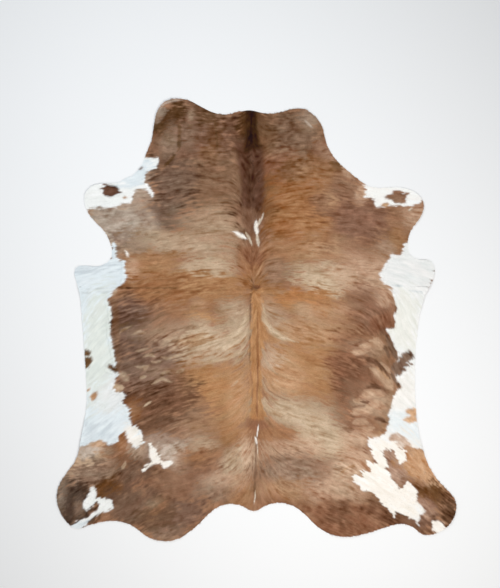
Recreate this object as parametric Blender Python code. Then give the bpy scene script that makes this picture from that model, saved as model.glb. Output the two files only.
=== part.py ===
"""Cowhide rug: one whole hair-on hide, lying hair side up with its neck towards +Y.

Metres, +Z up. The origin is on the floor, under the middle of the hide's box.
Leather and lying coat are one solid: a thin slab with the hide's own outline. Two folds
left by storage still stand up across it, its lobes and shank ends lift a little, and the
coat is thicker along the spine.
"""
from collections import namedtuple

import bmesh
import bpy
from mathutils import Vector

MM = 0.001

# Driving dimensions, in metres
LEATHER_THICKNESS = 0.0022
COAT_THICKNESS = 0.0033
EDGE_ROUNDING = 0.0014
GRID_PITCH = 0.050
OUTLINE_STEPS = 3
SPINE_CUTS = (-0.080, -0.055, -0.020, 0.015, 0.045)
CREST_END_CUTS = (0.875, 0.858)
WELD_DISTANCE = 0.0001
CUT_TOLERANCE = 0.00001
CREST_SHARPNESS = 1.4

# The outline, clockwise from the neck's left corner: (x, y) in millimetres.
OUTLINE = {
    "neck, left lobe": (
        (-545, 835), (-520, 895), (-505, 995), (-480, 1062), (-440, 1095), (-400, 1103),
        (-340, 1097), (-280, 1067), (-210, 1034), (-150, 1024),
    ),
    "neck, crest": ((-100, 1035), (-65, 1043), (-30, 1047), (30, 1034), (75, 1029)),
    "neck, right lobe": (
        (125, 1037), (185, 1053), (235, 1053), (265, 1037), (310, 995), (335, 945),
        (345, 895), (375, 830),
    ),
    "right shoulder": ((420, 775), (497, 710), (545, 673), (605, 657)),
    "right fore shank": (
        (670, 660), (720, 660), (770, 645), (803, 628), (825, 606), (838, 562), (814, 500),
        (786, 462), (763, 415), (759, 365),
    ),
    "right elbow flap": (
        (772, 320), (797, 304), (825, 298), (859, 298), (882, 282), (893, 240), (884, 200),
        (862, 155), (842, 120),
    ),
    "right flank": (
        (831, 73), (815, 10), (805, -80), (796, -155), (793, -280), (795, -405), (805, -505),
        (820, -605), (855, -715),
    ),
    "right hind shank": (
        (900, -795), (955, -855), (992, -900), (1000, -935), (990, -990), (965, -1030),
        (920, -1065), (840, -1080), (780, -1040),
    ),
    "right rump": (
        (720, -1025), (645, -1045), (545, -1075), (445, -1090), (368, -1076), (307, -1041),
        (233, -969), (165, -928), (105, -920),
    ),
    "tail": ((45, -935), (5, -957), (-25, -960), (-65, -937)),
    "left rump": (
        (-120, -926), (-180, -937), (-229, -970), (-285, -1027), (-336, -1069),
        (-382, -1099), (-445, -1111), (-520, -1100), (-565, -1075), (-615, -1037),
        (-680, -1014),
    ),
    "left hind shank": (
        (-755, -1012), (-830, -1030), (-900, -1049), (-940, -1022), (-980, -960),
        (-995, -895), (-985, -835), (-945, -770), (-910, -725),
    ),
    "left flank": (
        (-888, -675), (-870, -580), (-850, -465), (-846, -380), (-850, -255), (-860, -105),
        (-869, 10), (-877, 110),
    ),
    "left elbow flap": (
        (-894, 180), (-906, 240), (-896, 260), (-870, 267), (-820, 265), (-775, 265),
        (-742, 281), (-722, 310),
    ),
    "left fore shank": (
        (-719, 340), (-728, 380), (-745, 420), (-771, 455), (-815, 500), (-847, 552),
        (-858, 610), (-835, 653), (-805, 673), (-740, 681),
    ),
    "left shoulder": ((-683, 684), (-650, 705), (-615, 720), (-577, 761), (-560, 795)),
}

# Folds that still stand across the hide: where the crest meets the left and right flank,
# how far it runs down on each side, and its height at the left, in the middle and at the
# right. All in metres.
Fold = namedtuple("Fold", "name left_y right_y north_run south_run left_z middle_z right_z")
FLANK_X = 0.860
FOLDS = (
    Fold("upper fold", 0.145, 0.160, 0.140, 0.290, 0.012, 0.004, 0.011),
    Fold("lower fold", -0.615, -0.635, 0.200, 0.190, 0.013, 0.003, 0.011),
)

# Places where the hide lifts off the floor: centre, reach along x and y, and height.
Swell = namedtuple("Swell", "name x y reach_x reach_y z")
SWELLS = (
    Swell("left lobe of the neck", -0.440, 1.000, 0.190, 0.260, 0.010),
    Swell("right lobe of the neck", 0.250, 0.980, 0.200, 0.220, 0.006),
    Swell("left fore shank end", -0.860, 0.640, 0.210, 0.190, 0.007),
    Swell("right fore shank end", 0.840, 0.570, 0.200, 0.190, 0.007),
    Swell("left hind shank end", -1.010, -0.960, 0.240, 0.260, 0.009),
    Swell("right hind shank end", 1.010, -0.980, 0.240, 0.240, 0.009),
    Swell("left flank edge", -0.880, -0.180, 0.130, 0.200, 0.005),
    Swell("right flank edge", 0.820, -0.300, 0.120, 0.240, 0.005),
    Swell("left rump edge", -0.440, -1.130, 0.220, 0.120, 0.005),
    Swell("right rump edge", 0.460, -1.110, 0.240, 0.120, 0.005),
)

# Where the coat stands higher: the band's two sides, its two ends, how long each end takes
# to die away, and its height.
Ridge = namedtuple("Ridge", "name left right top bottom top_fade bottom_fade z")
COAT_RIDGES = (
    Ridge("crest tuft", -0.058, 0.020, 1.060, 0.866, 0.010, 0.010, 0.0045),
    Ridge("withers stripe", -0.085, 0.050, 0.900, 0.380, 0.100, 0.120, 0.0018),
    Ridge("back stripe", -0.060, 0.045, 0.330, -0.900, 0.120, 0.150, 0.0024),
)


def smooth_step(t):
    t = min(max(t, 0.0), 1.0)
    return t * t * (3 - 2 * t)


def fold_crest_y(fold, x):
    share = (x + FLANK_X) / (2 * FLANK_X)
    return fold.left_y + (fold.right_y - fold.left_y) * share


def fold_lift(fold, x, y):
    """Height that a fold gives at (x, y): a tent, highest at the flanks."""
    from_crest = y - fold_crest_y(fold, x)
    run = fold.north_run if from_crest > 0 else fold.south_run
    slope = 1 - abs(from_crest) / run
    if slope <= 0:
        return 0.0
    flank_z = fold.left_z if x < 0 else fold.right_z
    crest_z = fold.middle_z + (flank_z - fold.middle_z) * smooth_step(abs(x) / FLANK_X)
    return crest_z * slope**CREST_SHARPNESS


def swell_lift(swell, x, y):
    reach = Vector(((x - swell.x) / swell.reach_x, (y - swell.y) / swell.reach_y)).length
    return swell.z * smooth_step(1 - reach)


def lift(x, y):
    """Height of the hide's underside over the floor."""
    folds = sum(fold_lift(fold, x, y) for fold in FOLDS)
    return folds + sum(swell_lift(swell, x, y) for swell in SWELLS)


def coat_rise(x, y):
    """What the coat adds on top of its usual thickness."""
    total = 0.0
    for ridge in COAT_RIDGES:
        half_width = (ridge.right - ridge.left) / 2
        across = 1 - abs(x - (ridge.left + ridge.right) / 2) / half_width
        ends = min((ridge.top - y) / ridge.top_fade, (y - ridge.bottom) / ridge.bottom_fade)
        total += ridge.z * smooth_step(across * 2) * smooth_step(ends)
    return total


def outline_curve(collection):
    """The hide's outline as a filled curve, extruded, with softened rims."""
    landmarks = [point for stretch in OUTLINE.values() for point in stretch]
    curve = bpy.data.curves.new("hide_outline", "CURVE")
    curve.dimensions = "2D"
    curve.fill_mode = "BOTH"
    curve.resolution_u = OUTLINE_STEPS
    curve.extrude = (LEATHER_THICKNESS + COAT_THICKNESS) / 2 - EDGE_ROUNDING
    curve.bevel_depth = EDGE_ROUNDING
    curve.bevel_resolution = 0
    curve.offset = -EDGE_ROUNDING
    spline = curve.splines.new("BEZIER")
    spline.bezier_points.add(len(landmarks) - 1)
    spline.use_cyclic_u = True
    for knot, (x, y) in zip(spline.bezier_points, landmarks):
        knot.co = (x * MM, y * MM, 0)
        knot.handle_left_type = knot.handle_right_type = "AUTO"
    outline = bpy.data.objects.new("hide_outline", curve)
    outline.location.z = (LEATHER_THICKNESS + COAT_THICKNESS) / 2
    collection.objects.link(outline)
    return outline


def mesh_of(curve_object):
    """The curve's solid as a welded bmesh in world space; the curve is removed."""
    bpy.context.view_layer.update()
    depsgraph = bpy.context.evaluated_depsgraph_get()
    mesh = bpy.data.meshes.new_from_object(curve_object.evaluated_get(depsgraph))
    mesh.transform(curve_object.matrix_world)
    bpy.data.objects.remove(curve_object)
    solid = bmesh.new()
    solid.from_mesh(mesh)
    bpy.data.meshes.remove(mesh)
    bmesh.ops.remove_doubles(solid, verts=solid.verts, dist=WELD_DISTANCE)
    return solid


def merge_caps(solid):
    """Turns each triangulated cap into one face, so that the grid alone divides it."""
    top = LEATHER_THICKNESS + COAT_THICKNESS
    for level in (0.0, top):
        cap = [f for f in solid.faces if all(abs(v.co.z - level) < CUT_TOLERANCE for v in f.verts)]
        bmesh.ops.dissolve_faces(solid, faces=cap)


def grid_lines():
    """(point, normal) of each upright plane that divides the hide."""
    reach = max(abs(value) for stretch in OUTLINE.values() for point in stretch for value in point)
    count = int(reach * MM / GRID_PITCH)
    steps = [step * GRID_PITCH for step in range(-count, count + 1)]
    clear = GRID_PITCH / 2
    xs = [x for x in steps if not SPINE_CUTS[0] - clear < x < SPINE_CUTS[-1] + clear]
    lines = [(Vector((x, 0, 0)), Vector((1, 0, 0))) for x in (*xs, *SPINE_CUTS)]
    lines += [(Vector((0, y, 0)), Vector((0, 1, 0))) for y in (*steps, *CREST_END_CUTS)]
    for fold in FOLDS:
        along = Vector((2 * FLANK_X, fold.right_y - fold.left_y, 0))
        normal = Vector((-along.y, along.x, 0)).normalized()
        for shift in (fold.north_run, 0, -fold.south_run):
            lines.append((Vector((0, fold_crest_y(fold, 0) + shift, 0)), normal))
    return lines


def divide(solid):
    for point, normal in grid_lines():
        everything = [*solid.verts, *solid.edges, *solid.faces]
        bmesh.ops.bisect_plane(
            solid, geom=everything, dist=CUT_TOLERANCE, plane_co=point, plane_no=normal
        )


def shape(solid):
    """Raises the flat slab to the folds, the swells and the coat's ridges."""
    flat_thickness = LEATHER_THICKNESS + COAT_THICKNESS
    for vert in solid.verts:
        x, y, z = vert.co
        vert.co.z = lift(x, y) + z * (1 + coat_rise(x, y) / flat_thickness)


def hide_material():
    material = bpy.data.materials.new("hair_on_hide")
    material.use_nodes = True
    shader = material.node_tree.nodes["Principled BSDF"]
    shader.inputs["Base Color"].default_value = (0.230, 0.125, 0.068, 1)
    shader.inputs["Roughness"].default_value = 0.62
    shader.inputs["Metallic"].default_value = 0.0
    return material


def make_hide(collection):
    solid = mesh_of(outline_curve(collection))
    merge_caps(solid)
    divide(solid)
    shape(solid)
    bmesh.ops.triangulate(solid, faces=solid.faces)
    bmesh.ops.recalc_face_normals(solid, faces=solid.faces)
    mesh = bpy.data.meshes.new("cowhide")
    solid.to_mesh(mesh)
    solid.free()
    mesh.materials.append(hide_material())
    mesh.shade_smooth()
    hide = bpy.data.objects.new("cowhide", mesh)
    collection.objects.link(hide)
    return hide


def main():
    for leftover in list(bpy.data.objects):
        bpy.data.objects.remove(leftover)
    collection = bpy.data.collections.new("cowhide_rug")
    bpy.context.scene.collection.children.link(collection)
    make_hide(collection)


main()
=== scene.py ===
"""Looks of the cowhide rug: its skin, its coat of hair locks, the floor, light and camera.

Metres, +Z up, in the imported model's frame: hair side up, neck towards +Y. The coat is first
painted on a grid of cells over the hide, from named tones, patches, markings and hair
lines. Each lock of hair then takes its colour and its lie from that grid. The tables of
places are in millimetres and degrees. In paint, a later row covers an earlier one.
"""
import math
from collections import namedtuple

import bpy
import numpy as np
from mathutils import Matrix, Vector
from mathutils.bvhtree import BVHTree
from mathutils.geometry import delaunay_2d_cdt
from mathutils.kdtree import KDTree


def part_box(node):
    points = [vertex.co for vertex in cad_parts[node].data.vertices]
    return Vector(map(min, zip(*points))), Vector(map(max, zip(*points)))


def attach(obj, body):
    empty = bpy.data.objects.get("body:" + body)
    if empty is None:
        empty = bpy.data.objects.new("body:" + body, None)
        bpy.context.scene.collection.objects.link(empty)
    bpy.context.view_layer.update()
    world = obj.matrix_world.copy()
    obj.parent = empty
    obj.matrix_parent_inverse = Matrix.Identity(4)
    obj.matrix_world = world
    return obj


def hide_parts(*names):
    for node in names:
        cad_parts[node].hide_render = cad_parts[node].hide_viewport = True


MM = 0.001
SEED = 7
# Added where a sum of weights or a length could be none.
TINY = 1e-9

# ---- Grids over the hide, in metres
CELL = 0.0025
HEIGHT_CELL = 0.010
LIE_CELL = 0.010
MARGIN = 0.030
RIM_BAND = 0.032
# Keeps a place off the last cell, which has no neighbour.
LAST_CELL = 1.001
# Rows of a grid of equal triangles, by the triangles' sides.
ROW_SPACING = math.sqrt(0.75)

# ---- The hide's make
LEATHER_THICKNESS = 0.0022
LEAST_COAT = 0.001
SKIN_PITCH = 0.0135
RIM_CLEARANCE = 0.008
OUTLINE_PITCH = 0.006
OUTLINE_SOFTNESS = 0.006
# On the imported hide, vertices that are this close are one, and a wall's normal is this level.
SAME_PLACE = 0.0002
WALL_TILT = 0.3
COCKLE_HEIGHT = 0.0012
COCKLE_SIZE = 0.16
# The skin between the locks is painted darker than the coat: painted shade deep in the coat.
SKIN_PAINTED_SHADE = 0.75
# A crease's lips: height as a share of its depth, place and width in its half widths.
CREASE_LIPS = (0.45, 2.2, 0.9)
CREASE_MARGIN = 0.06
MERGE_DISTANCE = 1e-7
# The skin's faces by kind. On its map the underside lies beside the top, the wall at the right.
TOP, BACK, WALL = range(3)
MAP_SCALE = (0.48, 0.96)
MAP_MARGIN = 0.01
BACK_SHIFT = 0.49
WALL_START = 0.985

# ---- The coat's make. A pair is the least and the most of a random share or size.
LOCK_PITCH = 0.0030
LOCK_SCATTER = 0.45
ROOT_CLEARANCE = 0.0008
LOCK_WIDTH = 0.0032
WIDTH_SHARE = (0.7, 1.3)
LOCK_LENGTH = 0.019
LENGTH_SHARE = (0.75, 1.2)
FUZZY_SHORTENING = 0.3
CUT_SHARES = (0.28, 0.4, 0.55, 0.7, 0.85, 1.0)
STUB_SHARE = 0.16
TIP_OVERHANG = (0.001, 0.007)
# Heights of a lock's root, middle and tip as shares of the coat's depth.
ROOT_SHARE = 0.15
CROWN_SHARE = (0.62, 0.86)
TIP_SHARE = (0.46, 0.78)
LOWEST_LOCK = 0.0001
LOCK_LEAN = 0.0002
STREAK_RELIEF = 0.0002
MOST_STREAK = 2
CLUMP_SIZE = 0.016
CLUMP_TURN = math.radians(6)
LOCK_TURN = math.radians(6)
FUZZY_TURN = math.radians(22)
BEND_GROWTH = 1.3
# Where a lock's own colour is taken, how much of it the lock shows, and how much locks vary.
COLOUR_SPOT = 0.60
LOCK_SHARE = 0.5
LOCK_BRIGHTNESS = 0.06
# White hair is finer: from which brightness, over which range, and how much calmer.
WHITE_FROM = 0.45
WHITE_RANGE = 0.25
WHITE_CALM = 0.82
FINE_HAIR_CALM = 0.90
# The lines on a lock: how fast they change across and along it, how far locks are apart in
# the noise they come from, how strong the lines are in dark and in white hair, and the shade
# from root to tip.
LINES_ACROSS = 3.0
LINES_ALONG = 0.7
LOCKS_APART = (90.0, 37.0)
LINES_SCALE = 1.6
LINES_SWING = 0.28
LINES_IN_WHITE = 0.08
ROOT_TO_TIP = (0.90, 1.05)

# ---- Painting. A margin is how far past its own box a mark is looked for.
PATCH_REACH = 1.5
# How ragged a patch's edge is, as a share of its reach: a share for all patches, and a width
# in metres that is divided by the patch's narrower reach.
PATCH_RAGGED = (0.13, 0.0058)
# The width of a patch's edge and where the edge ends, in parts of its reach.
PATCH_EDGE = (0.72, 1.34)
# 2 would be an ellipse, and more is squarer.
PATCH_SQUARENESS = 2.6
WARP_SIZE = 0.055
WARP_SHIFT = 0.014
MARKING_INSET = 0.0014
# How much a cell's colour changes at least where a marking covers it.
WHITE_CHANGE = 0.15
AREA_MARGIN = 0.03
LINE_MARGIN = 0.02
# The most that an edge is ragged, in metres and as a share of the outline's narrower side or
# of the line's half width.
AREA_RAGGED = (0.0042, 0.05)
LINE_RAGGED = (0.0060, 0.26)
# A line fades out at this many half widths. Its ends taper over a share of its length, and
# LINE_END keeps their width above none.
LINE_REACH = 1.5
LINE_TAPER = 0.30
LINE_END = 0.05
# Where a zone fades out, and the width of its edge, in parts of its reach.
ZONE_REACH = 1.35
ZONE_EDGE = 0.7
# The share of the lighter hairs' colour, at least and at most.
LIGHT_RANGE = (-0.35, 1.45)
# What the lamps make of a tone, in linear light: its share, and the sheen that they add.
LIT_SHARE = 0.945
SHEEN = (0.004, 0.010, 0.013)
LEAST_COLOUR = 0.002
# How far red, green and blue swing, the swing's noise (share, size, reach, steps), and from
# which brightness, over which range and by how much it fades.
REDNESS = (0.010, -0.009, -0.012)
REDNESS_LAYERS = ((0.5, 0.006, 0.020, 6), (1.0, 0.020, 0.040, 6))
REDNESS_FADE = (0.28, 0.15, 0.8)

# Streakiness of the coat in layers: size of the spots and how far they are drawn along the
# hair, both in metres, in how many steps, the layer's strength in combed hair and what fuzz
# adds to it, and its share in the ragged edges and in the mix of darker and lighter hairs.
Layer = namedtuple("Layer", "name size reach steps combed fuzzy ragged light")
LAYERS = (
    Layer("fine", 0.0030, 0.014, 7, 1, 0, 0.60, 0.13),
    Layer("streaks", 0.0052, 0.024, 8, 1, -0.75, 0.70, 0.25),
    Layer("blotches", 0.0125, 0.038, 8, 1, -0.75, 0.45, 0.20),
    Layer("mottle", 0.011, 0.008, 3, 1, 0.8, 0.28, 0.12),
    Layer("cloud", 0.028, 0.010, 3, 0, 1, 0.50, 0.15),
)

# Tones of the coat, as its (darker, lighter) hairs look in the photograph, in sRGB 0 to 255.
TONES = {
    "warm white": ((243, 237, 227), (252, 247, 240)),
    "clean white": ((238, 240, 237), (247, 248, 246)),
    "white": ((230, 232, 230), (241, 241, 239)),
    "cool white": ((220, 229, 233), (231, 239, 242)),
    # Painted warm light on white slopes that face the key lamp.
    "faint cream": ((221, 227, 221), (232, 237, 230)),
    "faint warm": ((231, 231, 222), (241, 240, 232)),
    "cream": ((206, 190, 168), (238, 230, 216)),
    "apricot": ((184, 138, 100), (218, 180, 146)),
    "pale tan": ((180, 142, 115), (219, 189, 163)),
    "pale greige": ((177, 151, 123), (213, 192, 165)),
    "warm greige": ((165, 131, 105), (203, 172, 145)),
    "greige": ((160, 133, 107), (194, 172, 147)),
    "tan": ((160, 120, 88), (196, 158, 124)),
    "ash tan": ((168, 143, 120), (207, 186, 165)),
    "pale ash": ((178, 160, 143), (212, 199, 186)),
    "red orange": ((155, 103, 62), (186, 134, 91)),
    "bright white": ((247, 245, 241), (254, 252, 248)),
    # Painted shade in the fold creases of the white markings.
    "fold grey": ((196, 203, 205), (214, 221, 222)),
    "thigh gold": ((160, 130, 104), (208, 180, 152)),
    "cool grey": ((152, 133, 117), (190, 175, 160)),
    "pink brown": ((140, 106, 88), (186, 154, 134)),
    "dark umber": ((66, 44, 27), (102, 73, 52)),
    # Painted shade on the white hide's raised and rolled rims.
    "rim white": ((205, 214, 219), (221, 229, 233)),
    "cool dark": ((62, 49, 42), (98, 82, 72)),
    "shank grey": ((148, 126, 108), (186, 168, 150)),
    "grey taupe": ((128, 102, 84), (166, 142, 122)),
    "orange": ((151, 108, 72), (183, 141, 103)),
    "bright orange": ((160, 112, 72), (194, 148, 106)),
    "deep orange": ((132, 88, 58), (164, 120, 86)),
    "plain brown": ((128, 92, 68), (156, 118, 92)),
    "brown": ((122, 88, 68), (150, 116, 94)),
    "taupe": ((112, 82, 62), (142, 112, 90)),
    "lobe brown": ((104, 73, 56), (135, 104, 86)),
    "grey brown": ((94, 71, 58), (131, 107, 91)),
    "right shank brown": ((118, 84, 67), (148, 112, 93)),
    "rust": ((138, 90, 56), (170, 124, 88)),
    "red brown": ((116, 76, 57), (148, 107, 84)),
    "purple brown": ((100, 74, 62), (136, 110, 96)),
    "umber": ((82, 58, 38), (114, 86, 62)),
    "dark brown": ((84, 58, 44), (120, 88, 70)),
    "deep brown": ((86, 54, 30), (116, 82, 56)),
    "dark purple": ((72, 46, 35), (103, 74, 61)),
    "near black": ((36, 24, 13), (62, 43, 29)),
}
BASE_TONE = "plain brown"

# The spine's line: (y, x).
SPINE = ((1060, -22), (860, -20), (400, -18), (180, -12), (0, 2), (-500, 3), (-950, -6))

# The lie of the hair on both sides: y, then strokes of (distance from the spine, direction).
# Direction 0 points away from the spine, 90 to the neck and -90 to the tail.
COMB = {
    1000: ((22, -88), (36, -50), (48, -6), (300, 2), (450, -10)),
    900: ((22, -88), (36, -50), (48, -6), (300, 2), (450, -10)),
    800: ((56, 87), (70, 50), (84, 5), (250, 0), (450, -5)),
    600: ((56, 87), (70, 50), (84, 5), (250, 2), (450, -5), (700, -5), (800, 0)),
    450: ((44, 82), (60, 50), (78, 12), (150, 5), (450, -5), (650, -10)),
    370: ((44, 80), (60, 52), (82, 18), (150, 3), (450, -5), (650, -10)),
    260: ((38, 80), (56, 54), (78, 18), (112, 2), (200, -3), (600, -8)),
    165: ((22, 60), (42, 28), (64, 5), (150, -4), (400, -4), (600, -10), (800, -5)),
    90: (
        (15, -88), (40, -45), (80, -12), (200, -5), (400, -5), (600, -8), (680, -18), (705, -70),
        (800, -80),
    ),
    0: (
        (15, -88), (45, -65), (80, -42), (130, -20), (200, -8), (400, -6), (600, -10), (680, -22),
        (710, -80), (800, -80),
    ),
    -200: (
        (15, -88), (45, -62), (80, -42), (130, -22), (200, -12), (400, -6), (600, -8), (680, -24),
        (712, -80), (800, -60),
    ),
    -400: (
        (15, -88), (45, -60), (80, -42), (130, -24), (200, -14), (400, -8), (600, -14), (680, -36),
        (780, -55),
    ),
    -560: (
        (12, -88), (45, -60), (90, -38), (150, -18), (300, -12), (450, -12), (600, -24), (800, -50),
    ),
    -750: (
        (12, -88), (45, -66), (100, -52), (160, -34), (250, -18), (400, -10), (550, -18), (700, -40),
        (880, -45),
    ),
    -950: (
        (20, -88), (60, -60), (150, -35), (300, -20), (450, -18), (650, -30), (850, -45), (950, -35),
    ),
}
COMB_REACH = (0.008, 0.055)
COMB_SPREAD = 0.22
PARTING = 0.016
LIE_WAVES = ((0.110, math.radians(7)), (0.032, math.radians(5)))


def rows(kind, *table):
    """The table's rows, with names for their columns."""
    return [kind(*row) for row in table]


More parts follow.
